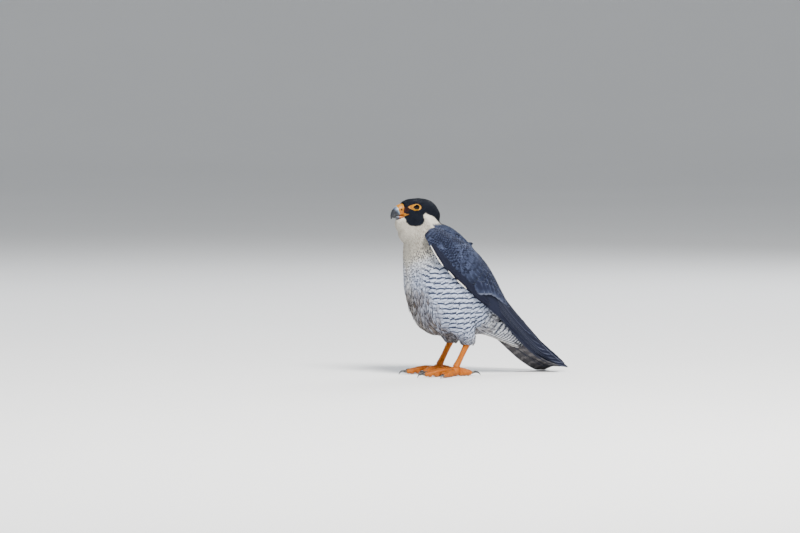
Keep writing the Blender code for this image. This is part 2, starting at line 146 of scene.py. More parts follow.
camera_back = Vector((math.sin(CAMERA_TURN), -math.cos(CAMERA_TURN), math.tan(CAMERA_RISE))).normalized()
camera_data = bpy.data.cameras.new("camera")
camera_data.lens = CAMERA_LENS
camera_data.clip_end = 200
camera = placed("camera", camera_data)
camera.location = AIM + camera_back * CAMERA_DISTANCE
camera.rotation_euler = camera_back.to_track_quat("Z", "Y").to_euler()
bpy.context.scene.camera = camera


def lamp(name, towards, distance, size, watts, colour):
    """A large square lamp that looks at the bird from a direction."""
    data = bpy.data.lights.new(name, "AREA")
    data.size = size
    data.energy = watts
    data.color = colour
    made = placed(name, data)
    way = Vector(towards).normalized()
    made.location = LAMPS_AIM + way * distance
    made.rotation_euler = way.to_track_quat("Z", "Y").to_euler()


lamp("key", (1.7, -0.1, 2.1), 3.0, 1.0, 250, (1.0, 0.97, 0.92))
lamp("fill", (0.9, -1.6, 0.8), 3.2, 2.2, 26, (0.86, 0.92, 1.0))
lamp("rim", (-1.2, 1.5, 1.4), 3.0, 1.6, 60, (0.95, 0.97, 1.0))
lamp("far_fill", (-1.6, -0.9, 0.7), 3.2, 2.2, 35, (0.94, 0.96, 1.0))

world = bpy.data.worlds.new("pale room")
world.use_nodes = True
background = world.node_tree.nodes["Background"].inputs
background["Color"].default_value = (0.90, 0.93, 0.96, 1)
background["Strength"].default_value = ROOM_LIGHT
bpy.context.scene.world = world
print("camera", round(CAMERA_DISTANCE, 2), "m away with a", CAMERA_LENS, "mm lens")

# %% [markdown]
# The floor is plain and pale, and level round the bird. Far out it curves up all
# round, so that no horizon shows. It belongs to the scene and not to the bird.
# %% Floor
FLOOR_FLAT = 9.0
FLOOR_BEND = 7.0
FLOOR_SIDES = 96
FLOOR_RIMS = 13

floor_form = bmesh.new()
rims = []
for bend in np.linspace(0, TURN / 4, FLOOR_RIMS):
    reach, rise = FLOOR_FLAT + FLOOR_BEND * math.sin(bend), FLOOR_BEND * (1 - math.cos(bend))
    turns = [TURN * k / FLOOR_SIDES for k in range(FLOOR_SIDES)]
    rims.append([floor_form.verts.new((reach * math.cos(a), reach * math.sin(a), rise)) for a in turns])
floor_form.faces.new(rims[0])
for inner_rim, outer_rim in zip(rims, rims[1:]):
    for k in range(FLOOR_SIDES):
        after = (k + 1) % FLOOR_SIDES
        floor_form.faces.new((inner_rim[k], outer_rim[k], outer_rim[after], inner_rim[after]))
floor_mesh = bpy.data.meshes.new("floor")
floor_form.to_mesh(floor_mesh)
floor_form.free()
floor_mesh.shade_smooth()
placed("floor", floor_mesh)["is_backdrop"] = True
print("floor is", round(2 * (FLOOR_FLAT + FLOOR_BEND)), "m across")

# %% [markdown]
# Materials and node trees are sums, products and masks. Written node by node they
# are hard to read, so one small class lets Python's own signs stand for the maths
# nodes, and one method adds any other node.
# %% A socket that does arithmetic
def socket_named(sockets, key):
    """A socket by its place, or the first one in use that has the name."""
    if isinstance(key, int):
        return sockets[key]
    return next(s for s in sockets if s.name == key and s.enabled)


def both_ways(operation):
    """What one of Python's signs does with a Value before it, and with a Value after it."""
    def before(self, other):
        return self.maths(operation, self, other)

    def after(self, other):
        return self.maths(operation, other, self)

    return before, after


class Value:
    """What one socket gives. Arithmetic on it adds the nodes that work it out."""

    def __init__(self, graph, node, socket):
        self.graph, self.node, self.socket = graph, node, socket

    def out(self, key):
        return Value(self.graph, self.node, socket_named(self.node.outputs, key))

    def maths(self, operation, *terms):
        wide = any(isinstance(t, Value) and t.socket.type in ("VECTOR", "RGBA") for t in terms)
        kind = "ShaderNodeVectorMath" if wide else "ShaderNodeMath"
        return self.graph.add(kind, {"operation": operation}, dict(enumerate(terms)))

    __add__, __radd__ = both_ways("ADD")
    __sub__, __rsub__ = both_ways("SUBTRACT")
    __mul__, __rmul__ = both_ways("MULTIPLY")
    __pow__ = both_ways("POWER")[0]

    def sine(self):
        return self.maths("SINE", self)

    def size(self):
        return self.maths("ABSOLUTE", self)

    def at_least(self, other):
        return self.maths("MAXIMUM", self, other)

    def between(self, low, high):
        """0 below low, 1 above high, and smooth in between."""
        takes = {"Value": self, "From Min": low, "From Max": high}
        return self.graph.add("ShaderNodeMapRange", {"interpolation_type": "SMOOTHSTEP"}, takes)

    def parts(self):
        split = self.graph.add("ShaderNodeSeparateXYZ", {}, {0: self})
        return split, split.out(1), split.out(2)


class Graph:
    """One tree of nodes, for a material or for geometry."""

    def __init__(self, tree):
        self.tree = tree

    def feed(self, socket, value):
        if isinstance(value, (list, tuple)) and value and isinstance(value[0], Value):
            for one in value:
                self.tree.links.new(one.socket, socket)
        elif isinstance(value, Value):
            self.tree.links.new(value.socket, socket)
        elif socket.type == "RGBA" and len(value) == 3:
            socket.default_value = (*value, 1)
        elif socket.type == "VECTOR" and isinstance(value, (int, float)):
            socket.default_value = (value, value, value)
        else:
            socket.default_value = value

    def add(self, kind, settings={}, takes={}, gives=0):
        """Adds a node: its kind, its settings, what its sockets take, and the output that is wanted."""
        node = self.tree.nodes.new(kind)
        for name, value in settings.items():
            setattr(node, name, value)
        for key, value in takes.items():
            self.feed(socket_named(node.inputs, key), value)
        return Value(self, node, socket_named(node.outputs, gives))

    def joined(self, x, y, z):
        return self.add("ShaderNodeCombineXYZ", {}, {0: x, 1: y, 2: z})

    def scaled(self, vector, factor):
        return self.add("ShaderNodeVectorMath", {"operation": "SCALE"}, {0: vector, "Scale": factor})

    def mix(self, factor, first, second):
        """The first colour where the factor is 0 and the second where it is 1."""
        return self.add("ShaderNodeMix", {"data_type": "RGBA"}, {0: factor, 6: first, 7: second}, 2)

    def layered(self, colour, *layers):
        """A colour with others laid over it in turn, each as far as its own factor says."""
        for factor, over in layers:
            colour = self.mix(factor, colour, over)
        return colour

    def noise(self, place, scale, detail):
        return self.add("ShaderNodeTexNoise", {}, {"Vector": place, "Scale": scale, "Detail": detail})


class Finish(Graph):
    """A Principled material. What varies over the surface is linked, and the rest is set on it."""

    def __init__(self, name, **constants):
        self.material = bpy.data.materials.new(name)
        self.material.use_nodes = True
        super().__init__(self.material.node_tree)
        self.shader = self.material.node_tree.nodes["Principled BSDF"]
        for socket_name, value in constants.items():
            self.shader.inputs[socket_name.replace("_", " ")].default_value = value
        self.place = self.add("ShaderNodeTexCoord", {}, {}, "Object")

    def layer(self, name):
        """The three numbers that store kept on the mesh under a name."""
        return self.add("ShaderNodeAttribute", {"attribute_name": name}, {}, "Vector").parts()

    def mottle(self, scale, detail=2.0):
        return self.noise(self.place, scale, detail)

    def surface(self, **values):
        for socket_name, value in values.items():
            self.feed(self.shader.inputs[socket_name.replace("_", " ")], value)

    def raised(self, height, millimetres, strength=1.0):
        """A bump in which a height of 1 stands for so many millimetres."""
        takes = {"Strength": strength, "Distance": millimetres * MM, "Height": height}
        self.surface(Normal=self.add("ShaderNodeBump", {}, takes))


pale = Finish("pale floor", Roughness=0.85)
mottle = pale.mottle(1.3, 3.0)
pale.surface(Base_Color=pale.mix(mottle, (0.80, 0.81, 0.82), (0.84, 0.85, 0.86)))
floor_mesh.materials.append(pale.material)
print("floor finish:", pale.material.name)

# %% [markdown]
# Pieces are built as arrays of points and faces in millimetres. These helpers make
# a mesh of them, run a modifier for good, and hand the finished piece to the frame:
# which body it moves with, which solids it stands for, and whose finish it has.
# %% Mesh helpers
BODY = "root"


def mesh_from(name, points, faces):
    mesh = bpy.data.meshes.new(name)
    mesh.from_pydata(np.asarray(points, float).tolist(), [], [list(face) for face in faces])
    mesh.shade_smooth()
    return mesh


def turned_outwards(mesh):
    """Makes every face of a closed mesh point out."""
    form = bmesh.new()
    form.from_mesh(mesh)
    bmesh.ops.recalc_face_normals(form, faces=form.faces)
    form.to_mesh(mesh)
    form.free()
    return mesh


def lofted(name, rings, capped=True):
    """A closed mesh through rings of drawing points. Rings without caps close on themselves."""
    rings = np.asarray(rings, float)
    rows, count = rings.shape[:2]
    grid = np.arange(rows * count).reshape(rows, count)
    near, far = (grid[:-1], grid[1:]) if capped else (grid, np.roll(grid, -1, axis=0))
    quads = np.stack([near, np.roll(near, -1, axis=1), np.roll(far, -1, axis=1), far], -1)
    faces = quads.reshape(-1, 4).tolist()
    points = rings.reshape(-1, 3)
    if capped:
        for ring in (grid[0], grid[-1]):
            faces += [[p, q, len(points)] for p, q in zip(ring.tolist(), np.roll(ring, -1).tolist())]
            points = np.vstack([points, points[ring].mean(0)])
    return turned_outwards(mesh_from(name, to_world(points), faces))


def columns(*parts):
    """Arrays and single numbers side by side, as the last axis of one array."""
    return np.stack(np.broadcast_arrays(*parts), -1)


def store(mesh, name, values):
    """Keeps three numbers for each corner for the node trees and materials to read. One row fits all."""
    rows = np.broadcast_to(np.asarray(values, np.float32), (len(mesh.vertices), 3))
    mesh.attributes.new(name, "FLOAT_VECTOR", "POINT").data.foreach_set("vector", rows.ravel())


def run_modifiers(holder, name):
    """The mesh that the modifiers make. The holder is removed."""
    bpy.context.view_layer.update()
    graph = bpy.context.evaluated_depsgraph_get()
    result = holder.evaluated_get(graph)
    mesh = bpy.data.meshes.new_from_object(result, preserve_all_data_layers=True, depsgraph=graph)
    mesh.name = name
    bpy.data.objects.remove(holder)
    return mesh


def numbers_in(items, field, width=3, kind=float):
    """One field of every item, a row for each."""
    found = np.empty(len(items) * width, kind)
    items.foreach_get(field, found)
    return found.reshape(-1, width)


def corners(mesh):
    return numbers_in(mesh.vertices, "co")


def normals(mesh):
    return numbers_in(mesh.vertex_normals, "vector")


def triangles(mesh):
    mesh.calc_loop_triangles()
    return numbers_in(mesh.loop_triangles, "vertices", 3, np.int32)


def move_corners(mesh, world_points):
    mesh.vertices.foreach_set("co", world_points.ravel())
    mesh.update()


def tree_of(points):
    """A tree that finds the nearest of many points."""
    tree = KDTree(len(points))
    for i, p in enumerate(points.tolist()):
        tree.insert(p, i)
    tree.balance()
    return tree


def shell_of(points, mesh):
    """A mesh's triangles with their corners at points, for rays and nearest places."""
    return BVHTree.FromPolygons(points.tolist(), triangles(mesh).tolist())


def unit(vectors):
    return vectors / np.maximum(np.linalg.norm(vectors, axis=-1, keepdims=True), 1e-9)


def all_round(count):
    """Even angles once round a ring."""
    return np.linspace(0, TURN, count, endpoint=False)


def ease(low, high, x):
    """0 at low, 1 at high and a smooth slope in between. Low may be the larger of the two."""
    t = np.clip((x - low) / (high - low), 0, 1)
    return t * t * (3 - 2 * t)


def along_rows(rows, t):
    """A table's rows read at t, from 0 to 1, on a smooth curve through all of them."""
    rows = np.asarray(rows, float)
    last = len(rows) - 1
    at = np.clip(np.asarray(t, float), 0, 1) * last
    i = np.minimum(at.astype(int), last - 1)
    f = (at - i)[..., None]
    a, b, c, d = (rows[np.clip(i + k, 0, last)] for k in (-1, 0, 1, 2))
    return 0.5 * (2 * b + (c - a) * f + (2 * a - 5 * b + 4 * c - d) * f**2 + (3 * b - a - 3 * c + d) * f**3)


def joined_mesh(parts, merged=False):
    """A copy of several meshes as one. Doubled corners are merged where that is asked for."""
    whole = bmesh.new()
    for part in parts:
        whole.from_mesh(part)
    if merged:
        bmesh.ops.remove_doubles(whole, verts=whole.verts, dist=1e-6)
    mesh = bpy.data.meshes.new("joined")
    whole.to_mesh(mesh)
    whole.free()
    return mesh


def solids_joined(nodes):
    return joined_mesh([frame["nodes"][node].data for node in nodes], merged=True)


def finished(name, mesh, finish, slot, replaces=()):
    """A finished piece: it wears its finish, rides on the bird and stands for its solids."""
    if finish is not None:
        mesh.materials.clear()
        mesh.materials.append(finish.material)
    made = placed(name, mesh)
    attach(made, BODY)
    if replaces:
        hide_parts(*replaces)
    print(name, "has", len(mesh.loops) - 2 * len(mesh.polygons), "triangles")
    return made


print("every piece rides on the body", BODY)

# %% [markdown]
# The skin is one closed surface from the head to the root of the tail and down both
# thighs. The solids of those parts are parted by thin cuts. Remeshing in small cubes
# closes the cuts, and smoothing takes the last trace of them away. The surface then
# sinks by the depth of the coat, so that the feathers end where the solids do. It
# runs on behind the eyes, which are pieces of their own, so no hole is left there.
# %% Skin
SKIN_NODES = ("head", "neck", "trunk", "thigh_left", "thigh_right")
SKIN_CUBE = 1.25


def fused_surface(name, mesh, cube, rounds):
    holder = placed(name, mesh)
    remesh = holder.modifiers.new("close the cuts", "REMESH")
    remesh.mode = "VOXEL"
    remesh.voxel_size = cube * MM
    soften = holder.modifiers.new("soften", "SMOOTH")
    soften.factor = 0.5
    soften.iterations = rounds
    return run_modifiers(holder, name)


def coat_depth(points):
    """How thick the feathers lie, in millimetres: thin on the face, deeper down the body."""
    face = np.linalg.norm(to_head(points) - np.array((0, -18, -6)), axis=-1)
    return np.interp(face, (8, 20, 45, 90, 130), (0.5, 0.8, 1.3, 1.9, 2.3))


skin_mesh = fused_surface("skin", solids_joined([*SKIN_NODES, "eye_left", "eye_right"]), SKIN_CUBE, 9)
outer = corners(skin_mesh)
skin_points = outer - normals(skin_mesh) * coat_depth(to_drawing(outer))[:, None] * MM
move_corners(skin_mesh, skin_points)
print("skin corners:", len(skin_points))

# %% [markdown]
# Feathers lie along a bird as tiles lie on a roof. To say which way, one line runs
# through the bird from bill to tail, and every point of the skin looks up the
# stretch of line nearest to it. The same look-up gives how far a point is down the
# bird and how far round towards the back, and the markings follow from those two.
# %% The line through the bird
SPINE = [
    # y, z, half depth to the back, half depth to the belly
    (-106, 231, 6, 6),
    (-90, 234, 14, 14),
    (-68, 233, 20, 20),
    (-56, 222, 22, 22),
    (-52, 209, 26, 27),
    (-43, 190, 42, 38),
    (-30, 165, 53, 52),
    (-16, 138, 56, 64),
    (3, 112, 48, 70),
    (29, 92, 36, 40),
    (53, 79, 24, 27),
    (80, 58, 12, 15),
    (104, 39, 4, 7),
    (116, 30, 3, 4),
]
SPINE_STEPS = 260
spine = along_rows(SPINE, np.linspace(0, 1, SPINE_STEPS))
spine_way = unit(np.gradient(spine[:, :2], axis=0))
spine_mm = np.concatenate([[0], np.cumsum(np.linalg.norm(np.diff(spine[:, :2], axis=0), axis=1))])
NEAR = 7.0
FAN_CENTRE = np.array((45, -43, 199))


def on_spine(points):
    """Millimetres down the line, the way it runs there, and how far a point is round to the back."""
    found = []
    for part in np.array_split(np.asarray(points, float), max(1, len(points) // 4000)):
        away = np.hypot(part[:, 1:2] - spine[None, :, 0], part[:, 2:3] - spine[None, :, 1])
        weight = np.exp(-(away - away.min(1, keepdims=True)) / NEAR)
        weight /= weight.sum(1, keepdims=True)
        way = unit(weight @ spine_way)
        offset = part[:, 1:] - weight @ spine[:, :2]
        back = -offset[:, 0] * way[:, 1] + offset[:, 1] * way[:, 0]
        depth = np.where(back > 0, weight @ spine[:, 2], weight @ spine[:, 3])
        found.append(np.column_stack([weight @ spine_mm, way, back / depth]))
    return np.concatenate(found)


def mirrored_left(points):
    """Points on the bird's right side moved to their twins on its left."""
    return points * np.where(points[:, :1] < 0, (-1, 1, 1), (1, 1, 1))


def flank_share(points, down):
    """1 on the flank, where long feathers hang straight down in rows, and 0 elsewhere."""
    x, y, z = points.T
    front = ease(22, 32, np.abs(x) + 0.35 * (y + 30))
    return front * ease(166, 158, z) * ease(64, 74, z) * ease(212, 196, down)


def lay_of(points, outward):
    """The way a feather points: down the line, out from the shoulder on the breast, down on the flank."""
    place = on_spine(points)
    way = np.column_stack([np.zeros(len(points)), place[:, 1:3]])
    mirrored = np.where(points[:, :1] < 0, -1.0, 1.0)
    fan = unit(mirrored_left(points) - FAN_CENTRE)
    fan[:, :1] *= mirrored
    front = ease(75, 105, place[:, 0]) * ease(0.3, -0.2, place[:, 3])
    front *= ease(185, 160, place[:, 0])
    face = unit(points - from_head(np.array((0, -15, -5))))
    head = ease(62, 40, place[:, 0])
    way = way * (1 - 0.45 * front - 0.5 * head)[:, None]
    way = way + fan * 0.45 * front[:, None] + face * 0.5 * head[:, None]
    hang = 0.8 * flank_share(points, place[:, 0])[:, None]
    way = way * (1 - hang) + np.array((0, 0.06, -1.0)) * hang
    way -= outward * np.sum(way * outward, axis=1, keepdims=True)
    return unit(way), place


print("line through the bird:", round(spine_mm[-1]), "mm long")

# %% [markdown]
# A falcon's pattern is not painted over its feathers: each feather has its own
# marks, and together they make the hood, the bib and the bars. So the pattern is
# worked out at the root of each feather and carried by the whole feather. The skin
# gets the same numbers at each corner, and no gap between feathers shows. Some of
# the numbers are painted shade: blue-grey on the flanks and sides, and brown-grey
# with dark streaks on the throat and lower belly.
# %% Markings
BAR_STEP = 7.2
VENT_STEP = 7.8
LEG_STEP = 4.6
VENT_LINE = 215
LEG_TOP = 66
# The lobe under the eye: its middle's y and z on the head, and its half width and height.
LOBE = (-2.0, -11.5, 12.5, 15.5)
NAPE_PATCH = (30.0, -13.0)
NAPE_END = 214.0


def hood_of(head):
    """1 where the hood is black: above a line through the cheek, the lobe under the eye, and the nape."""
    x, y, z = head.T
    edge = np.interp(y, (-14, -9, 10, 14, 26, 38), (-15, -15, -12, -8.5, -14, -22.5))
    above = ease(-0.9, 0.9, z - edge)
    lobe = (np.abs(y - LOBE[0]) / LOBE[2]) ** 2.6 + (np.abs(z - LOBE[1]) / LOBE[3]) ** 2.6
    nape = ease(24, 30, y) * ease(17, 13.5, np.abs(x))
    return np.maximum(np.maximum(above, ease(1.1, 0.9, lobe)), nape)


def markings(points, place, rng=None):
    """The pattern at each place: six shares from 0 to 1, then the bars' phase and pace, and a seed."""
    def jitter(size):
        return 0 if rng is None else rng.normal(0, size, len(points))

    x, z = np.abs(points[:, 0]), points[:, 2]
    down, back = place[:, 0], place[:, 3]
    head = to_head(points + (0 if rng is None else rng.normal(0, 0.55, points.shape)))
    behind = ease(0.25, 0.45, back)
    level = z + jitter(0.7)
    above_mantle = ease(NAPE_END - 2, NAPE_END + 1, level)
    on_head = ease(66, 60, down + jitter(1.5)) * (1 - behind) + above_mantle * behind
    side_line = np.interp(down, (90, 150), (0.20, 0.40)) + jitter(0.03)
    slate = ease(side_line, side_line + 0.12, back) * ease(NAPE_END + 4, NAPE_END, level)
    head_x, head_y, head_z = head.T
    nape_patch = np.hypot((head_y - NAPE_PATCH[0]) / 5.0, (head_z - NAPE_PATCH[1]) / 3.4)
    slate = np.maximum(slate, 0.16 * ease(1.2, 0.5, nape_patch) * (np.abs(head_x) > 5))
    dark = hood_of(head) * on_head
    front = ease(0.4, 0.2, back)
    starts = 171 + 0.5 * x + jitter(3)
    marked = ease(starts + 8, starts - 8, z) * ease(60, 72, down)
    hanging = flank_share(points, down)
    flank = np.maximum(ease(24, 34, x + jitter(2)) * ease(176, 162, z), hanging)
    # The brown-grey wash on the lower belly is partly the loose feathers' own tint and partly painted shade.
    wash_and_shade = ease(142, 118, z) * ease(40, 26, x + jitter(2.5)) * ease(236, 215, down) * front
    vent = ease(205, 225, down) * (1 - slate)
    bars = np.maximum(flank, vent) * marked * (1 - wash_and_shade)
    spots = marked * (1 - bars) * (1 - 0.8 * wash_and_shade)
    # Painted shade: the flanks and the sides of the breast turn a darker blue-white where the body turns from
    # the light. The same share also makes the bib's cream white further down.
    white_and_side_shade = 0.25 + 0.75 * np.maximum(flank, ease(2, 22, x) * marked)
    white_and_side_shade *= ease(85, 120, down) * (1 - 0.6 * vent)
    # Painted shade: the throat turns brown-grey, with dark streaks that stand for shadows between loose
    # feathers.
    shaded_throat = ease(0.32, -0.05, back) * ease(4, 16, down) * ease(96, 80, down) * (1 - dark)
    wash_and_shade = np.maximum(wash_and_shade, 0.55 * shaded_throat)
    lores = ease(4.5, 2.5, np.hypot(head_y + 12.5, head_z + 3.5)) * dark
    wash_and_shade = np.maximum(wash_and_shade, lores)
    step = np.where(z < LEG_TOP, LEG_STEP, np.where(down > VENT_LINE, VENT_STEP, BAR_STEP))
    reach = np.linalg.norm(mirrored_left(points) - FAN_CENTRE, axis=1)
    run = np.where(back > 0.25, down, reach)
    run = np.where(down > VENT_LINE, down, np.where(hanging > 0.5, 200 - z, run))
    phase = run / step + jitter(0.02)
    seed = np.full(len(points), 0.5) if rng is None else rng.random(len(points))
    return {
        "mark": columns(dark, slate, wash_and_shade),
        "print": columns(bars, spots, white_and_side_shade),
        "beat": columns(phase, 1 / step, seed),
    }


def normals_evened(mesh, rounds):
    """Normals that neighbours share out, so that feathers don't follow small dents."""
    found = normals(mesh)
    ends = numbers_in(mesh.edges, "vertices", 2, np.int32)
    for _ in range(rounds):
        total = found.copy()
        np.add.at(total, ends[:, 0], found[ends[:, 1]])
        np.add.at(total, ends[:, 1], found[ends[:, 0]])
        found = unit(total)
    return found


skin_out = normals_evened(skin_mesh, 5)
skin_drawn = to_drawing(skin_points)
skin_place = on_spine(skin_drawn)
store(skin_mesh, "lay_normal", skin_out)
store(skin_mesh, "vane", (0, 0.4, 0))
for layer_name, values in markings(skin_drawn, skin_place).items():
    store(skin_mesh, layer_name, values)
print("hood covers", int((hood_of(to_head(skin_drawn)) > 0.5).sum()), "corners of the skin")

# %% [markdown]
# One finish serves the skin and every body feather. It reads where a point is on
# its own vane (across, along), then lays bars, spots and streaks as each feather's
# numbers say, and painted shade: blue-grey on the flanks and sides, and brown-grey
# with dark streaks on the throat and lower belly. The barbs are fine slanting lines,
# partly colour and partly bump.
# Feathers are matt, so the roughness is high and they mirror very little.
# %% Plumage finish
CREAM = (0.76, 0.72, 0.62)
WHITE = (0.74, 0.74, 0.74)
SIDE_SHADE_BLUE = (0.43, 0.485, 0.63)
BROWN_GREY = (0.135, 0.110, 0.092)
STREAK_AND_SHADOW_DARK = (0.028, 0.019, 0.016)
BAR_DARK = (0.022, 0.028, 0.055)
HOOD_DARK = (0.006, 0.008, 0.014)
HOOD_RIM = (0.020, 0.026, 0.044)
LORE_RED = (0.024, 0.010, 0.010)
SLATE = (0.036, 0.048, 0.092)
SLATE_BAR = (0.018, 0.024, 0.056)
SLATE_RIM = (0.150, 0.175, 0.250)


def barbs(u, v, count):
    """Slanting lines from the shaft to both edges, from -1 to 1."""
    return ((v * count + u.size() * count * 0.22) * TURN).sine()


plumage = Finish("body plumage", Roughness=0.78, Specular_IOR_Level=0.06)
across, along, _ = plumage.layer("vane")
hood, slate, wash_and_shade = plumage.layer("mark")
bars, spots, white_and_side_shade = plumage.layer("print")
phase, pace, seed = plumage.layer("beat")
side_way = across * across
grain = plumage.mottle(900)
fine = barbs(across, along, 26)
ripple = plumage.mottle(160, 1.0) - 0.5
wave = ((phase + along * pace - side_way * 0.40 + ripple * 0.22) * TURN).sine()
bar = wave.between(0.12, 0.55) * bars
spot_place = (along - 0.80) * 6.5
spot = (1 - (side_way * 3.0 + spot_place * spot_place)).between(0.0, 0.5) * spots
streak = (1 - across.size() * 2.6).between(0.0, 0.6) * along.between(0.40, 0.70)

light = plumage.layered(
    CREAM,
    (white_and_side_shade.between(0.0, 0.25), WHITE),
    # Painted shade: the darker blue-white of the flanks and sides.
    (white_and_side_shade, SIDE_SHADE_BLUE),
    # Partly painted shade: the brown-grey of the throat and lower belly, and the dark streaks there that
    # stand for shadows between loose feathers. On the breast the streaks are the feathers' own.
    (wash_and_shade * (0.45 + 0.55 * seed), BROWN_GREY),
    (streak * (wash_and_shade * 0.92 + spots * 0.30), STREAK_AND_SHADOW_DARK),
    ((bar * 0.95).at_least(spot * 0.88), BAR_DARK),
)
rim = (along + side_way * 0.10).between(0.86, 1.0)
back_bar = wave.between(0.1, 0.7) * (1 - rim)
blue = plumage.layered(SLATE, (back_bar * 0.75, SLATE_BAR), (rim * (0.25 + 0.35 * seed), SLATE_RIM))
black = plumage.layered(HOOD_DARK, (rim * 0.35, HOOD_RIM), (wash_and_shade, LORE_RED))
colour = plumage.layered(light, (slate, blue), (hood, black))
shade = 0.90 + seed * 0.11 + (grain - 0.5) * 0.16 + fine * 0.05
plumage.surface(
    Base_Color=plumage.scaled(colour, shade),
    Roughness=0.80 - hood * 0.22 - slate * 0.12 + grain * 0.08,
)
plumage.raised(fine * 0.6 + grain * 0.8, 0.09)
skin = finished("skin", skin_mesh, plumage, "body_feathers", SKIN_NODES)

# %% [markdown]
# Thousands of feathers are one shape repeated, which is work for Geometry Nodes. The
# tree shapes one vane from a grid: narrow at the root, rounded at the tip, closed
# underneath. It sets a copy on each root, turned by the root's own directions, then
# presses every copy onto the skin and lifts it towards its tip, so that the feathers
# lie like tiles. Last it gives each feather its own small patch of the map OFBake.
# %% Tree for a coat of feathers
COAT_INPUTS = {
    "Roots": "Geometry", "Skin": "Object", "Finish": "Material",
    "Points across": "Int", "Points along": "Int",
    "Root width": "Float", "Tip roundness": "Float", "Thickness": "Float", "Patch": "Float",
}


def named_vector(g, name):
    settings = {"data_type": "FLOAT_VECTOR"}
    return g.add("GeometryNodeInputNamedAttribute", settings, {"Name": name}, "Attribute")


def kept_on(g, mesh, name, value, kind="FLOAT_VECTOR", domain="POINT"):
    """The mesh with a value kept on it under a name."""
    settings = {"data_type": kind, "domain": domain}
    takes = {"Geometry": mesh, "Name": name, "Value": value}
    return g.add("GeometryNodeStoreNamedAttribute", settings, takes)


def make_coat_tree():
    tree = bpy.data.node_groups.new("coat of feathers", "GeometryNodeTree")
    for name, kind in COAT_INPUTS.items():
        tree.interface.new_socket(name, in_out="INPUT", socket_type="NodeSocket" + kind)
    tree.interface.new_socket("Coat", in_out="OUTPUT", socket_type="NodeSocketGeometry")
    g = Graph(tree)
    given = g.add("NodeGroupInput", {}, {}, "Roots")

    sizes = {"Size X": 2.0, "Size Y": 1.0}
    sizes |= {"Vertices X": given.out("Points across"), "Vertices Y": given.out("Points along")}
    grid = g.add("GeometryNodeMeshGrid", {}, sizes, "Mesh")
    u, y, _ = g.add("GeometryNodeInputPosition").parts()
    v = y + 0.5
    grid = kept_on(g, grid, "vane", g.joined(u, v, 0.0))
    swell = ((v ** 0.8) * (0.78 * math.pi)).sine()
    root_width = given.out("Root width")
    width = root_width + (1 - root_width) * swell
    pulled = v - given.out("Tip roundness") * u * u * (v ** 4)
    takes = {"Geometry": grid, "Position": g.joined(u * width, pulled, 0.0)}
    top = g.add("GeometryNodeSetPosition", {}, takes)

    u, v, _ = named_vector(g, "vane").parts()
    inner = (1 - u * u) * (4 * v * (1 - v)).at_least(0.0) ** 0.5
    sink = inner * given.out("Thickness") * -1
    under = g.add("GeometryNodeFlipFaces", {}, {"Mesh": top})
    under = g.add("GeometryNodeSetPosition", {}, {"Geometry": under, "Offset": g.joined(0.0, 0.0, sink)})
    under = kept_on(g, under, "vane", g.joined(u, v, sink))
    vane = g.add("GeometryNodeJoinGeometry", {}, {"Geometry": [top, under]})
    vane = g.add("GeometryNodeMergeByDistance", {}, {"Geometry": vane, "Distance": 1e-6})

    turned = g.add(
        "FunctionNodeAxesToRotation",
        {"primary_axis": "Z", "secondary_axis": "Y"},
        {"Primary Axis": named_vector(g, "out"), "Secondary Axis": named_vector(g, "way")},
    )
    width, length, _ = named_vector(g, "form").parts()
    scale = g.joined(width * 0.5, length, 1.0)
    takes = {"Points": given, "Instance": vane, "Rotation": turned, "Scale": scale}
    copies = g.add("GeometryNodeInstanceOnPoints", {}, takes)
    coat = g.add("GeometryNodeRealizeInstances", {}, {"Geometry": copies})

    takes = {"Object": given.out("Skin")}
    ground = g.add("GeometryNodeObjectInfo", {"transform_space": "ORIGINAL"}, takes, "Geometry")
    place = g.add("GeometryNodeInputPosition")
    takes = {"Geometry": ground, "Sample Position": place}
    nearest = g.add("GeometryNodeProximity", {"target_element": "FACES"}, takes)
    takes = {"Mesh": ground, "Value": named_vector(g, "lay_normal"), "Sample Position": place}
    up = g.add("GeometryNodeSampleNearestSurface", {"data_type": "FLOAT_VECTOR"}, takes)
    up = g.add("ShaderNodeVectorMath", {"operation": "NORMALIZE"}, {0: up})
    height = g.add("ShaderNodeVectorMath", {"operation": "DOT_PRODUCT"}, {0: place - nearest, 1: up}, "Value")
    u, v, sink = named_vector(g, "vane").parts()
    _, length, lift = named_vector(g, "form").parts()
    base, camber, roll = named_vector(g, "rise").parts()
    uneven = (g.noise(place, 420.0, 1.0) - 0.5) * (v ** 3.0)
    frayed = g.scaled(named_vector(g, "way"), uneven * length * 0.18)
    risen = v * (2 - v) * 0.86 + v * 0.14
    wanted = base + lift * risen - camber * u * u * (0.3 + 0.7 * v) + roll * u + sink
    shift = g.scaled(up, wanted - height)
    coat = g.add("GeometryNodeSetPosition", {}, {"Geometry": coat, "Offset": shift + frayed})

    patch = given.out("Patch")
    spot_on_map = named_vector(g, "bake") + g.joined(u * 0.5 * patch, (v - 0.5) * patch, 0.0)
    coat = kept_on(g, coat, "OFBake", spot_on_map, "FLOAT2", "CORNER")
    coat = g.add("GeometryNodeSetShadeSmooth", {}, {"Geometry": coat})
    coat = g.add("GeometryNodeSetMaterial", {}, {"Geometry": coat, "Material": given.out("Finish")})
    tree.links.new(coat.socket, tree.nodes.new("NodeGroupOutput").inputs[0])
    return tree


coat_tree = make_coat_tree()
print("nodes in the coat tree:", len(coat_tree.nodes))


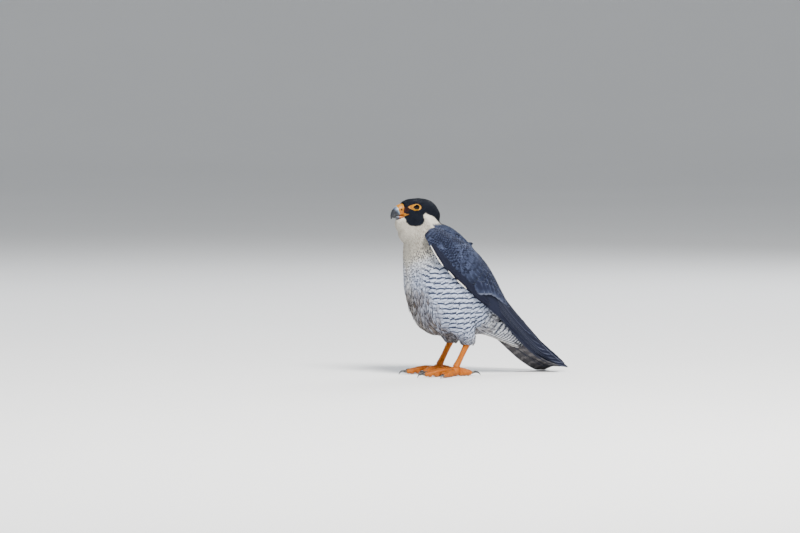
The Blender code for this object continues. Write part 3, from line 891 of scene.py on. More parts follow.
def grow_coat(
    name, roots, ground, finish, slot, patch,
    across=5, along=7, root_width=0.35, tip=0.24, thickness=0.12, retouch=None,
):
    """Feathers on their roots as one plain mesh. Retouch may change that mesh first."""
    mesh = bpy.data.meshes.new(name + "_roots")
    mesh.vertices.add(len(roots["at"]))
    mesh.vertices.foreach_set("co", to_world(roots["at"]).ravel())
    for layer in ("way", "out", "mark", "print", "bake"):
        store(mesh, layer, roots[layer])
    beat = roots["beat"].copy()
    beat[:, 1] *= roots["form"][:, 1]
    store(mesh, "beat", beat)
    store(mesh, "form", roots["form"] * MM)
    store(mesh, "rise", roots["rise"] * MM)
    holder = placed(name, mesh)
    grow = holder.modifiers.new("coat", "NODES")
    grow.node_group = coat_tree
    wanted = {
        "Skin": ground, "Finish": finish.material,
        "Points across": across, "Points along": along,
        "Root width": root_width, "Tip roundness": tip, "Thickness": thickness * MM, "Patch": patch,
    }
    for item in coat_tree.interface.items_tree:
        if item.name in wanted:
            grow[item.identifier] = wanted[item.name]
    mesh = run_modifiers(holder, name)
    if retouch is not None:
        retouch(mesh)
    for spare in ("way", "out", "form", "rise", "bake"):
        if spare in mesh.attributes:
            mesh.attributes.remove(mesh.attributes[spare])
    print(len(roots["at"]), "feathers:", end=" ")
    return finished(name, mesh, None, slot)


# %% [markdown]
# The roots are scattered over the skin: many random places are tried, and a place is
# kept when no kept one is nearer than the spacing wanted there. Feathers are tiny on
# the face and grow down the neck, as on the real bird.
# %% Scatter places over a surface
LEG_GAP = 2.7
# Millimetres down the line through the bird, and how far apart feathers stand there.
GAPS_AT = (10, 30, 50, 75, 110, 150, 200, 225, 310)
GAPS = (0.8, 0.95, 1.25, 2.0, 2.9, 4.0, 4.6, 5.6, 4.6)


def spacing_of(points, place):
    gap = np.interp(place[:, 0], GAPS_AT, GAPS)
    return np.where(points[:, 2] < LEG_TOP, LEG_GAP, gap)


def scattered(points, outward, faces, gaps, tries, rng):
    """Random places on a surface, none nearer to another than its gap, with the way out at each."""
    a, b, c = (points[faces[:, k]] for k in range(3))
    weight = np.linalg.norm(np.cross(b - a, c - a), axis=1) / gaps[faces].mean(1) ** 2
    chosen = rng.choice(len(faces), tries, p=weight / weight.sum())
    r = np.sqrt(rng.random(tries))
    t = rng.random(tries)
    share = columns(1 - r, r * t, r * (1 - t))
    corner = faces[chosen]
    at = np.einsum("nk,nkd->nd", share, points[corner])
    out = unit(np.einsum("nk,nkd->nd", share, outward[corner]))
    gap = np.einsum("nk,nk->n", share, gaps[corner])
    tree = tree_of(at)
    free, kept = np.ones(tries, bool), []
    for i, (p, reach) in enumerate(zip(at.tolist(), gap.tolist())):
        if free[i]:
            kept.append(i)
            for _, j, _ in tree.find_range(p, reach):
                free[j] = False
    return at[kept], out[kept], gap[kept]


rng = default_rng(11)
gaps = spacing_of(skin_drawn, skin_place)
at, out, gap = scattered(skin_drawn, skin_out, triangles(skin_mesh), gaps, 80000, rng)
print("places on the skin:", len(at))

# %% [markdown]
# Nothing grows under the folded wing, round the eye or under the bill, where no
# feather would show. The wing's outer face is a smooth sheet between two edges. The
# solid was drawn with the same numbers, so a place on that sheet is one on the wing.
# %% Leave the hidden and the bare places out
WING = [
    # lower edge x, y, z, upper edge x, y, z, how far it bows out, thickness
    (41, -66, 202, 33, -52, 212, 2, 7),
    (51, -60, 184, 25, -36, 213, 9, 11),
    (56, -48, 163, 21, -17, 205, 15, 13),
    (58, -35, 149, 19, 0, 197, 18, 14),
    (58, -23, 138, 18, 15, 186, 19, 14),
    (56, -4, 123, 18, 32, 168, 19, 13),
    (54, 13, 109, 18, 46, 149, 17, 12),
    (50, 30, 97, 18, 58, 129, 13, 10),
    (44, 48, 84, 17, 71, 109, 9, 8),
    (34, 79, 62, 15, 98, 81, 5, 6),
    (22, 118, 34, 12, 132, 46, 3, 5),
    (16, 146, 19, 10, 154, 27, 1.5, 4),
    (12, 174, 4.5, 10, 177, 7, 0.5, 2.2),
]
FAR_WING_LIFT = np.array((0, 5, 4))
SIDES = {"left": 1, "right": -1}


def wing_surface(t, v, side):
    """The folded wing's outer face, at t from wrist to tip and v from its lower to its upper edge."""
    row = along_rows(WING, t)
    low, top, bulge = row[..., 0:3], row[..., 3:6], row[..., 6:7]
    up = top - low
    out = np.array((1.0, 0, 0)) - up * up[..., :1] / np.sum(up * up, axis=-1, keepdims=True)
    v = np.asarray(v, float)[..., None]
    points = low + up * v + unit(out) * bulge * 4 * v * (1 - v)
    if side < 0:
        points = points * (-1, 1, 1) + FAR_WING_LIFT
    return points


def under_wing(points):
    """True where a place on the skin is well inside the edges of a folded wing."""
    t, v = np.meshgrid(np.linspace(0, 1, 60), np.linspace(0, 1, 25), indexing="ij")
    covered = np.zeros(len(points), bool)
    for side in SIDES.values():
        cover = wing_surface(t, v, side).reshape(-1, 3)
        inside = ((v > 0.14) & (v < 0.84) & (t > 0.04)).ravel()
        for part in np.array_split(np.arange(len(points)), 12):
            away = np.linalg.norm(points[part][:, None] - cover[None], axis=2)
            nearest = away.argmin(1)
            covered[part] |= inside[nearest] & (away.min(1) < 19)
    return covered


# The corner of the mouth: its y and z on the head, from the bill back.
GAPE = ((-14.6, -11.3), (-9.3, -9.9))


def off_the_bare_parts(points):
    """True where feathers grow: not on the lids, and not where the bill comes out of the face."""
    x, y, z = to_head(points).T
    x = np.abs(x)
    high = np.where(z > 0, 4.3, 4.8) * (1 - 0.40 * np.clip(-y / 11.0, 0, 1) ** 2)
    lid = (x > 8) & ((y / np.where(y < 0, 11.0, 7.5)) ** 2 + (z / high) ** 2 < 1)
    bill = (y < -13.5) & (z > -17) & (x < 8.5) | (y < -12.8) & (z > -12.5) & (z < 0.5)
    (front, low), (back, high) = GAPE
    off_line = np.abs(z - low - (high - low) * np.clip((y - front) / (back - front), 0, 1))
    gape = (y < back + 0.3) & (off_line < 1.7) & (x > 7)
    return ~(lid | bill | gape)


hangs = flank_share(at, on_spine(at)[:, 0]) > 0.5
grown = off_the_bare_parts(at) & ~under_wing(at) & ~hangs
at, out, gap = at[grown], out[grown], gap[grown]
print("places for body feathers:", len(at))

# %% [markdown]
# On the flanks the feathers are broad and hang in level rows, so that their bars join
# up into long wavy lines. Rays cast at the skin at one height after another find the
# line of each row, and places are stepped off along it, every second row by half a
# step, as bricks are laid.
# %% Rows on the flanks
ROW_STEP = 7.2
ROW_PITCH = 10.5
FLANK_HEIGHTS = (60, 176)
FLANK_TURNS = (-80, 96)


def flank_rows(rng):
    """Level rows of places round both flanks, each row shifted by half a pitch from the one above."""
    ground, nearest = shell_of(skin_drawn, skin_mesh), tree_of(skin_drawn)
    found = []
    for side in SIDES.values():
        for row, z in enumerate(np.arange(*FLANK_HEIGHTS, ROW_STEP)):
            middle = float(np.interp(z, spine[::-1, 1], spine[::-1, 0]))
            ring = []
            for turn in np.radians(np.arange(*FLANK_TURNS, 2)):
                way = Vector((side * math.cos(turn), math.sin(turn), 0))
                hit = ground.ray_cast(Vector((0, middle, z)) + way * 150, -way)[0]
                if hit is not None:
                    ring.append(tuple(hit))
            ring = np.array(ring)
            run = np.concatenate([[0], np.cumsum(np.linalg.norm(np.diff(ring, axis=0), axis=1))])
            at_run = np.arange((row % 2) * ROW_PITCH / 2, run[-1], ROW_PITCH)
            at_run = at_run + rng.normal(0, 0.5, len(at_run))
            found.append(columns(*(np.interp(at_run, run, ring[:, k]) for k in range(3))))
    places = np.concatenate(found)
    places[:, 2] += rng.normal(0, 0.35, len(places))
    outs = skin_out[[nearest.find(p)[1] for p in places.tolist()]]
    wanted = (flank_share(places, on_spine(places)[:, 0]) > 0.45) & ~under_wing(places)
    return places[wanted], outs[wanted]


row_at, row_out = flank_rows(default_rng(12))
scattered_count = len(at)
at, out = np.concatenate([at, row_at]), np.concatenate([out, row_out])
gap = np.concatenate([gap, np.full(len(row_at), ROW_PITCH * 0.6)])
in_row = np.arange(len(at)) >= scattered_count
print("places in rows on the flanks:", len(row_at))

# %% [markdown]
# Each feather's numbers are kept on its root: which way it points and which way is
# out, how wide, long and high it is, its marks, and its own small patch of the map.
# The small differences from one feather to the next are random, with fixed seeds.
# %% What each body feather needs
THIGH_MIDDLE = (27.0, 3.0)


def map_places(points, place):
    """Where each root lies on the unrolled skin: across is round the line, and up is down the bird."""
    x, y, z = points.T
    round_line = np.arctan2(x, place[:, 3] * 30)
    body = columns(round_line / TURN + 0.5, 0.02 + 0.84 * place[:, 0] / spine_mm[-1])
    round_leg = np.arctan2(x - np.where(x > 0, 1, -1) * THIGH_MIDDLE[0], y - THIGH_MIDDLE[1])
    leg = columns((x > 0) * 0.5 + 0.25 + round_leg / TURN * 0.5, 0.88 + (LEG_TOP - z) * 0.004)
    return np.where(((z < LEG_TOP) & (np.abs(x) > 12))[:, None], leg, body)


def body_roots(chosen, seed):
    """What each chosen feather needs: its directions, its size, how it lifts, and its marks."""
    rng = default_rng(seed)
    points, outward, room = at[chosen], out[chosen], gap[chosen]
    count = len(points)
    way, place = lay_of(points, outward)
    swing = rng.normal(0, 1, count) * np.interp(place[:, 0], (20, 70, 180), (3, 5, 5)) * math.pi / 180
    across = np.cross(outward, way)
    way = way * np.cos(swing)[:, None] + across * np.sin(swing)[:, None]
    marks = markings(points, place, rng)
    loose = marks["mark"][:, 2] * (place[:, 0] > 110)
    rows = in_row[chosen]
    vent = ease(205, 225, place[:, 0])
    small = ease(75, 60, place[:, 0])
    length = room * (3.4 + 1.2 * loose + 1.4 * small) * rng.normal(1, 0.10, count)
    width = room * (2.05 + 0.25 * vent - 0.85 * loose - 0.35 * small) * rng.normal(1, 0.08, count)
    length = np.where(rows, ROW_STEP * 2.7 * rng.normal(1, 0.03, count), length)
    width = np.where(rows, ROW_PITCH * 1.42 * rng.normal(1, 0.04, count), width)
    length = np.where(off_the_bare_parts(points + way * length[:, None] * 0.9), length, length * 0.45)
    depth = coat_depth(points)
    lift = depth * (0.46 - 0.14 * small + rng.normal(0, 0.03, count) + 0.7 * loose * rng.random(count))
    base = depth * (0.36 + 0.14 * small + (0.05 + 0.2 * loose) * rng.random(count))
    camber = width * (0.012 + 0.02 * loose)
    roll = rng.normal(0, 0.02 + 0.06 * loose, count) * depth
    return {
        "at": points, "out": outward, "way": way,
        "form": columns(width, length, lift),
        "rise": columns(base, camber, roll),
        "bake": np.column_stack([map_places(points, place), np.zeros(count)]),
        **marks,
    }


FACE_END = 42
NECK_END = 72
root_down = on_spine(at)[:, 0]
on_face, on_neck = root_down < FACE_END, (root_down >= FACE_END) & (root_down < NECK_END)
on_legs = (at[:, 2] < LEG_TOP) & ~in_row
on_body = (root_down >= NECK_END) & ~on_legs & ~in_row
print("feathers on face, neck and thighs:", on_face.sum(), on_neck.sum(), on_legs.sum())

# %% [markdown]
# The bird wears its feathers in five tracts, and each tract is one piece. On the head
# the edge of the black hood is sharp, finer than a feather is long, so there each
# corner of a feather looks up its own mark again once the feather has grown.
# %% Grow the body feathers
tracts = {
    # which roots, seed, patch on the map, slot, points across and along, how pointed
    "head_feathers": (on_face, 3, 0.003, "hood_feathers", 5, 5, 0.40),
    "neck_feathers": (on_neck, 4, 0.003, "body_feathers", 5, 6, 0.40),
    "body_feathers": (on_body, 5, 0.008, "body_feathers", 5, 7, 0.36),
    "thigh_feathers": (on_legs, 7, 0.004, "body_feathers", 5, 7, 0.36),
    "flank_feathers": (in_row, 8, 0.008, "body_feathers", 9, 10, 0.26),
}


def head_marks(mesh):
    """On the small head feathers the hood's edge may cross a feather, so each corner has its own mark."""
    points = to_drawing(corners(mesh))
    beat = numbers_in(mesh.attributes["beat"].data, "vector")
    ragged = (beat[:, 2:] - 0.5) * (0.4, 1.6, 1.2)
    found = markings(points + ragged, on_spine(points))
    mesh.attributes["mark"].data.foreach_set("vector", found["mark"].astype(np.float32).ravel())


for tract_name, (chosen, tract_seed, patch, slot, points_across, points_along, tip) in tracts.items():
    roots = body_roots(chosen, tract_seed)
    retouch = head_marks if tract_name in ("head_feathers", "neck_feathers") else None
    grow_coat(
        tract_name, roots, skin, plumage, slot, patch,
        across=points_across, along=points_along, tip=tip, thickness=0.08, retouch=retouch,
    )

# %% [markdown]
# Under its feathers each folded wing is a solid form. A copy of the wing's solid is
# remeshed and sunk below its own surface, to leave room for the layers that lie over
# it. The surface's own two directions, along the wing and across it, are what every
# wing feather is placed by.
# %% Core of each wing
WING_CUBE = 0.9


def wing_across(t):
    """How wide the folded wing is at t, in millimetres."""
    row = along_rows(WING, t)
    return np.linalg.norm(row[..., 3:6] - row[..., 0:3], axis=-1)


def wing_normal(t, v, side):
    step = 0.004
    along = wing_surface(t + step, v, side) - wing_surface(t - step, v, side)
    up = wing_surface(t, v + step, side) - wing_surface(t, v - step, side)
    return unit(np.cross(along, up)) * side


def on_wing(points, side):
    """The t and v of the nearest place on the wing's outer face, and how far away it is."""
    t, v = np.meshgrid(np.linspace(0, 1, 110), np.linspace(0, 1, 34), indexing="ij")
    cover = wing_surface(t, v, side).reshape(-1, 3)
    tree = tree_of(cover)
    found = [tree.find(p)[1:] for p in points.tolist()]
    index = np.array([f[0] for f in found])
    return t.ravel()[index], v.ravel()[index], np.array([f[1] for f in found])


def core_depth(t):
    """How far the core lies below the folded wing's face, in millimetres."""
    return np.interp(t, (0, 0.2, 0.36, 1), (1.1, 1.3, 2.6, 2.6))


wing_plumage = Finish("wing plumage", Roughness=0.6, Specular_IOR_Level=0.08)
wing_cores = {}
for name, side in SIDES.items():
    core = fused_surface("wing_core", solids_joined([f"wing_{name}"]), WING_CUBE, 3)
    here = to_drawing(corners(core))
    out_of_core = normals_evened(core, 4)
    t, v, _ = on_wing(here, side)
    facing = np.sum(out_of_core * wing_normal(t, v, side), axis=1)
    thick = along_rows(WING, t)[:, 7]
    sunk = np.minimum(core_depth(t), 0.42 * thick) * ease(-0.3, 0.5, facing) + 0.25
    here = here - out_of_core * sunk[:, None]
    move_corners(core, to_world(here))
    store(core, "lay_normal", out_of_core)
    store(core, "vane", (0.3, 0.4, 0))
    store(core, "mark", columns(0.85 - 0.65 * ease(0.6, 0.8, v) * (t < 0.66), 0, 0))
    store(core, "print", (0, 0, 0))
    store(core, "beat", (0.25, 0, 0.5))
    wing_cores[name] = finished(f"wing_core_{name}", core, wing_plumage, "wing_feathers", [f"wing_{name}"])

# %% [markdown]
# Flight feathers are long and stiff, with a shaft, two vanes and a rounded or pointed
# tip. Each is a closed sheet laid on the wing's surface from a root to a tip. A
# feather that lies on top sits higher, and one under it sinks only where the other
# covers it, which gives the stepped edges of a folded wing.
# %% Long vanes laid on a surface
VANE_ACROSS = 9
VANE_ALONG = 26
FLOOR_GAP = 0.05
VANE_ROOT = 0.35
# What a long vane is unless it says otherwise, with camber and thickness in millimetres.
PLAIN_VANE = {"shaft": 0.0, "bow": 0.0, "taper": 0.75, "power": 2.2, "camber": 0.5, "thick": 0.42}


def outline(w, taper, power):
    """How wide a vane is from its root at 0 to its tip at 1, as a share of its full width."""
    grows = VANE_ROOT + (1 - VANE_ROOT) * ease(0, 0.16, w)
    x = np.clip((w - taper) / (1 - taper), 0, 1)
    return np.maximum(grows * np.sqrt(np.maximum(1 - x**power, 0)), 0.03)


def sheet_faces(rows, columns):
    """Faces of one closed sheet: a top grid, and an under side that shares its edge."""
    top = np.arange(rows * columns).reshape(rows, columns)
    under = top.copy()
    inner = (rows - 2) * (columns - 2)
    under[1:-1, 1:-1] = rows * columns + np.arange(inner).reshape(rows - 2, columns - 2)

    def quads(grid):
        a, b, c, d = grid[:-1, :-1], grid[:-1, 1:], grid[1:, 1:], grid[1:, :-1]
        return np.stack([a, b, c, d], -1).reshape(-1, 4)

    return quads(top), quads(under)[:, ::-1]


def laid_vanes(name, vanes, surface, side, finish, slot, replaces=()):
    """Builds every vane of one group. A vane says where it runs, its width, its layer and its marks."""
    top_faces, under_faces = sheet_faces(VANE_ALONG, VANE_ACROSS)
    u = np.linspace(-1, 1, VANE_ACROSS)
    w = 1 - (1 - np.linspace(0, 1, VANE_ALONG)) ** 1.35
    inner = (1 - u[None, :] ** 2) * np.minimum(1, 6 * (w * (1 - w)))[:, None]
    points, faces, uv = [], [], []
    layers = {"vane": [], "mark": [], "print": [], "beat": []}
    per_vane = VANE_ALONG * VANE_ACROSS + (VANE_ALONG - 2) * (VANE_ACROSS - 2)
    for k, given in enumerate(vanes):
        vane = PLAIN_VANE | given
        share = outline(w, vane["taper"], vane["power"])
        reach = np.where(u < 0, 1 + vane["shaft"], 1 - vane["shaft"]) * u * vane["half"]
        x = reach[None, :] * share[:, None] + vane["bow"] * (w * (1 - w) * 4)[:, None]
        (t0, v0), (t1, v1) = vane["root"], vane["tip"]
        t = (t0 + (t1 - t0) * w)[:, None] + np.zeros_like(x)
        place, up = surface(t, v0 + (v1 - v0) * w[:, None], x)
        ridge = 0.32 * np.exp(-((u / 0.10) ** 2))[None, :] * (1.1 - w)[:, None]
        height = vane["height"](t) + ridge - vane["camber"] * (u**2)[None, :]
        top = place + up * height[..., None]
        low = place + up * (height - vane["thick"] * inner)[..., None]
        for sheet, least in ((low, FLOOR_GAP), (top, FLOOR_GAP + 0.3)):
            sheet[..., 2] = np.maximum(sheet[..., 2], least)
        points += [top.reshape(-1, 3), low[1:-1, 1:-1].reshape(-1, 3)]
        faces += [top_faces + k * per_vane, under_faces + k * per_vane]
        upper = columns(u[None, :], w[:, None], 0)
        lower = columns(u[None, :], w[:, None], -1)
        layers["vane"] += [upper.reshape(-1, 3), lower[1:-1, 1:-1].reshape(-1, 3)]
        for layer in ("mark", "print", "beat"):
            layers[layer].append(np.tile(vane[layer], (per_vane, 1)))
        flat = np.concatenate([upper.reshape(-1, 3), upper[1:-1, 1:-1].reshape(-1, 3)])
        for column, grid in ((2 * k, top_faces), (2 * k + 1, under_faces)):
            across, down, _ = flat[grid.ravel()].T
            uv.append(columns((column + 0.5 + 0.42 * across) / (2 * len(vanes)), 0.02 + 0.96 * down))
    if side < 0:
        faces = [f[:, ::-1] for f in faces]
        uv = [c.reshape(-1, 4, 2)[:, ::-1].reshape(-1, 2) for c in uv]
    mesh = mesh_from(name, to_world(np.concatenate(points)), np.concatenate(faces))
    for layer, values in layers.items():
        store(mesh, layer, np.concatenate(values))
    corner_places = np.concatenate(uv).astype(np.float32).ravel()
    mesh.uv_layers.new(name="OFBake").data.foreach_set("uv", corner_places)
    return finished(name, mesh, finish, slot, replaces)


def covered_by(tips, step, top):
    """A feather's height: top, less one step for each feather above it that reaches that far."""
    def height(t):
        return top - step * sum(ease(tip + 0.012, tip - 0.05, t) for tip in tips)
    return height


print("corners in one long vane:", VANE_ALONG * VANE_ACROSS + (VANE_ALONG - 2) * (VANE_ACROSS - 2))

# %% [markdown]
# On the folded wing the innermost feathers lie on top. The primaries make the long
# dark point, and step along its upper edge. The secondaries and tertials end two
# thirds of the way down in pale fringes, the greater coverts lie over their roots,
# and a dark band of primary coverts and alula runs along the wing's lower edge. Below
# that edge a few narrow white vanes show, as the white down does on the real wing.
# %% Flight feathers
PRIMARIES = 10
PRIMARY_COVERTS = 8
ALULA = 3
SECONDARIES = 9
TERTIALS = 3
WHITE_EDGES = (0.065, 0.115, 0.230, 0.325)
FLIGHT_DROP = 0.31


def level_at(height):
    """The height of a vane that lies at one level from root to tip."""
    return lambda t: height


def secondary_tip(v):
    """Where along the wing the secondaries and tertials end, from the lower to the upper edge."""
    return np.interp(v, (0.05, 0.13, 0.27, 0.40, 0.52, 0.9), (0.40, 0.50, 0.55, 0.63, 0.675, 0.73))


def flight_feathers(rng):
    """Every long vane of one wing. Places are t along the wing and v across it."""
    primary_tips = [0.735 + 0.262 * (i / 8) ** 0.85 for i in range(9)] + [0.985]
    for i in range(PRIMARIES):
        share = i / (PRIMARIES - 1)
        tip_v = np.interp(share, (0, 0.5, 0.9, 1), (0.80, 0.66, 0.50, 0.30))
        base = covered_by(primary_tips[:i], FLIGHT_DROP, 0.15)
        yield {
            "root": (0.42, 0.50 - 0.36 * share), "tip": (primary_tips[i], tip_v),
            "half": 7.6 - 1.6 * share, "shaft": 0.36, "taper": 0.55, "power": 1.9,
            "height": lambda t, base=base: base(t) - 2.1 * ease(0.70, 0.56, t),
            "mark": (0.92, 0.62, 0), "print": (0.25, 0, 0), "beat": (rng.random(), 11, rng.random()),
        }
    for i in range(PRIMARY_COVERTS):
        yield {
            "root": (0.10 + 0.03 * i, 0.06), "tip": (0.34 + 0.034 * i, 0.035 + 0.02 * (i % 2)),
            "half": 3.4, "taper": 0.6, "height": level_at(-0.9 - 0.12 * (PRIMARY_COVERTS - 1 - i)),
            "mark": (0.93, 0.14, 0), "print": (0.1, 0.3, 0), "beat": (rng.random(), 6, rng.random()),
        }
    for i in range(ALULA):
        yield {
            "root": (0.07, 0.06), "tip": (0.22 + 0.05 * i, 0.04 + 0.025 * (2 - i)),
            "half": 2.8, "taper": 0.6, "height": level_at(-0.25 - 0.22 * i),
            "mark": (0.90, 0.20, 0), "print": (0.1, 0.3, 0), "beat": (rng.random(), 5, rng.random()),
        }
    for start in WHITE_EDGES:
        yield {
            "root": (start, -0.008), "tip": (start + 0.075, -0.012),
            "half": 0.65, "taper": 0.6, "height": level_at(-0.30),
            "mark": (0, 0, 0), "print": (0, 0, -1), "beat": (0, 0, rng.random()),
        }
    for i in reversed(range(SECONDARIES + TERTIALS)):
        share = i / (SECONDARIES + TERTIALS - 1)
        tip_v = 0.13 + 0.66 * share
        tip = (secondary_tip(tip_v) + rng.normal(0, 0.003), tip_v)
        yield {
            "root": (0.20 + 0.10 * share, 0.24 + 0.46 * share), "tip": tip,
            "half": 6.0 - 1.8 * share, "shaft": 0.2, "bow": 1.0, "taper": 0.80, "power": 2.6,
            "height": lambda t, tip=tip: -0.35 - 1.25 * ease(0.045, 0.105, tip[0] - t),
            "mark": (0.40 - 0.25 * share, 0.85 - 0.45 * share, 0),
            "print": (0.35, 0.9, 0), "beat": (rng.random(), 9, rng.random()),
        }


PRIMARY_SAG = 5.5

for name, side in SIDES.items():
    def wing_place(t, v, x, side=side):
        """A place on the wing. Towards the tip the lower edge hangs a little under the solid's."""
        v = v + x / wing_across(t)
        sag = PRIMARY_SAG * ease(0.62, 0.80, t) * ease(1.0, 0.90, t) * np.clip(1 - v, 0, 1.1)
        return wing_surface(t, v, side) - sag[..., None] * (0, 0.35, 1), wing_normal(t, v, side)

    vanes = list(flight_feathers(default_rng(21)))
    laid_vanes(f"flight_feathers_{name}", vanes, wing_place, side, wing_plumage, "wing_feathers")

# %% [markdown]
# The small coverts and the scapulars are many and alike, so the coat tree grows them
# too, with the wing's core as their skin. They stand in rows across the wing, point down
# at the shoulder and turn to run along the wing. Where neighbours in a row have their
# dark bar, the bars make the short dashes of the shoulder. Corners that would stand
# out past the solid, as at the wing's sharp upper edge, are pressed back to it.
# %% Coverts and scapulars
COVERTS_END = 0.62
COVERTS_SHORT = 0.085
COVERTS_TOP = 0.985
STANDS_OUT = 0.5


def covert_rows(rng):
    """The t and v of every covert in staggered rows, with the room each has and its row's step."""
    t, row, places = 0.004, 0, []
    while t < COVERTS_END:
        pitch = np.interp(t, (0, 0.1, 0.26, 0.38, 0.6), (3.2, 3.8, 4.8, 6.4, 7.0))
        step = pitch * np.interp(t, (0, 0.26, 0.38, 0.6), (0.72, 0.80, 1.25, 1.5))
        low = np.interp(t, (0, 0.08, 0.2, 0.48, 0.6), (0.0, 0.01, 0.06, 0.10, 0.28))
        wide = float(wing_across(t))
        v = low + 0.5 * (row % 2) * pitch / wide
        while v < COVERTS_TOP:
            small = np.interp(v, (0.8, 0.95), (1, 0.72))
            places.append((t + rng.normal(0, 0.0016), v + rng.normal(0, 0.004), pitch * small, step))
            v += pitch * small / wide
        ahead = np.linalg.norm(wing_surface(t + 0.01, 0.5, 1) - wing_surface(t - 0.01, 0.5, 1)) / 0.02
        t, row = t + step / ahead, row + 1
    return np.array(places).T


def covert_roots(core, side, rng):
    """What each covert of one wing needs, as body_roots gives it for the body's feathers."""
    mesh = core.data
    here = to_drawing(corners(mesh))
    ground, nearest = shell_of(here, mesh), tree_of(here)
    lay = numbers_in(mesh.attributes["lay_normal"].data, "vector")
    t, v, pitch, step = covert_rows(rng)
    wanted = wing_surface(t, v, side)
    at = np.array([ground.find_nearest(p)[0] for p in wanted.tolist()])
    out = lay[[nearest.find(p)[1] for p in at.tolist()]]
    kept = (np.linalg.norm(at - wanted, axis=1) < 7) & (t < secondary_tip(v) - COVERTS_SHORT)
    t, v, pitch, step, at, out = (values[kept] for values in (t, v, pitch, step, at, out))
    count = len(at)
    along = unit(wing_surface(t + 0.01, v, side) - wing_surface(t - 0.01, v, side))
    turn = ease(0.30, 0.05, t)[:, None] * ease(1.0, 0.5, v)[:, None] * 0.7
    way = along * (1 - turn) + np.array((0, 0.12, -1.0)) * turn
    upward = unit(wing_surface(t, v, side) - wing_surface(t, v - 0.05, side))
    way -= upward * 0.12 * ease(0.82, 0.98, v)[:, None]
    way += rng.normal(0, 0.04, (count, 3))
    way = unit(way - out * np.sum(way * out, axis=1, keepdims=True))
    length = (step * 1.75 + pitch * 1.1) * rng.normal(1, 0.05, count)
    length *= 1 - 0.40 * ease(0.78, 0.98, v) * ease(0.42, 0.26, t)
    width = pitch * 1.55 * rng.normal(1, 0.05, count)
    lower = ease(0.30, 0.10, v) * ease(0.02, 0.2, t)
    large = ease(0.26, 0.42, t)
    dark = 0.06 + 0.22 * lower + 0.25 * ease(0.12, 0.0, t) - 0.10 * ease(0.6, 0.95, v)
    dark = np.clip(dark + rng.normal(0, 0.05, count), 0, 1)
    lift = (0.62 + 0.38 * large) * (1 - 0.60 * ease(0.86, 0.98, v)) + rng.normal(0, 0.04, count)
    base = np.maximum(core_depth(t) - 1.15, 0.12) * ease(1.02, 0.9, v) + 0.08 * rng.random(count)
    return {
        "at": at, "out": out, "way": way,
        "form": columns(width, length, lift),
        "rise": columns(base, width * 0.03, rng.normal(0, 0.04, count)),
        "bake": columns(0.05 + 0.75 * v, 0.02 + 1.5 * t, 0),
        "mark": columns(dark, 0.35 + 0.55 * large, 0),
        "print": columns(0.95 - 0.85 * large, 0.10 + 0.90 * large, 1),
        "beat": columns(rng.normal(0, 0.13, count), 0, rng.random(count)),
    }


def pressed_to(node):
    """A change to a coat's mesh: what stands out from the solid, as at a sharp edge, comes back."""
    solid = frame["nodes"][node].data
    shell = shell_of(to_drawing(corners(solid)), solid)

    def press(mesh):
        points = to_drawing(corners(mesh))
        for k, p in enumerate(points.tolist()):
            spot, facing, _, away = shell.find_nearest(p)
            past = Vector(p) - spot
            if away > STANDS_OUT and past.dot(facing) > 0:
                points[k] = spot + past * (STANDS_OUT / away)
        move_corners(mesh, to_world(points))

    return press


for name, side in SIDES.items():
    roots = covert_roots(wing_cores[name], side, default_rng(31))
    grow_coat(
        f"coverts_{name}", roots, wing_cores[name], wing_plumage, "wing_feathers", 0.008,
        root_width=0.45, tip=0.26, retouch=pressed_to(f"wing_{name}"),
    )

# %% [markdown]
# The wing's finish is slate blue, darker on the primaries. Its bars, dark centres and
# pale fringes again follow each feather's own numbers. The under side of a long
# feather is grey-brown with pale bars, as it is on the bird.
# %% Wing finish
across, along, beneath = wing_plumage.layer("vane")
dark, fringe, tail_tip = wing_plumage.layer("mark")
bars, centre, level = wing_plumage.layer("print")
phase, pace, seed = wing_plumage.layer("beat")
side_way = across * across
grain = wing_plumage.mottle(700)
ripple = wing_plumage.mottle(220, 1.0) - 0.5
fine = barbs(across, along, 34)
WING_SLATE = (0.031, 0.041, 0.078)
WING_LIGHT = (0.066, 0.083, 0.148)
WING_BAR = (0.006, 0.008, 0.022)
WING_RIM = (0.150, 0.168, 0.235)
DARK_RIM = (0.115, 0.130, 0.190)
WING_WHITE = (0.70, 0.68, 0.64)
PRIMARY_DARK = (0.007, 0.008, 0.018)
UNDER_GREY = (0.046, 0.043, 0.047)
UNDER_PALE = (0.130, 0.123, 0.123)
broken = wing_plumage.mottle(110, 1.0).between(0.26, 0.44)
wave = ((phase + along * pace - side_way * 0.16 + ripple * 0.6) * TURN).sine()
crosswise = along + side_way * 0.06 + ripple * 0.10
dash = crosswise.between(0.58, 0.66) * (1 - crosswise.between(0.88, 0.95)) * broken
on_covert = level.at_least(0.0)
bar = wave.between(0.15, 0.75) * (1 - on_covert) + dash * on_covert
middle = (1 - side_way * 2.6).between(0.1, 0.7) * along.between(0.10, 0.45)
middle = middle * (1 - (along + side_way * 0.16).between(0.86, 0.97))
edge = (along + side_way * 0.13).between(0.97 - on_covert * 0.07, 1.0)
edge = edge.at_least(across.size().between(0.72, 0.98) * 0.7)
patchy = wing_plumage.mottle(45).between(0.35, 0.65)
rim_colour = wing_plumage.mix(dark, WING_RIM, DARK_RIM)
under_colour = wing_plumage.mix(wave.between(0.1, 0.6) * 0.6, UNDER_GREY, UNDER_PALE)
band = along.between(0.86, 0.885) * (1 - along.between(0.955, 0.965)) * tail_tip
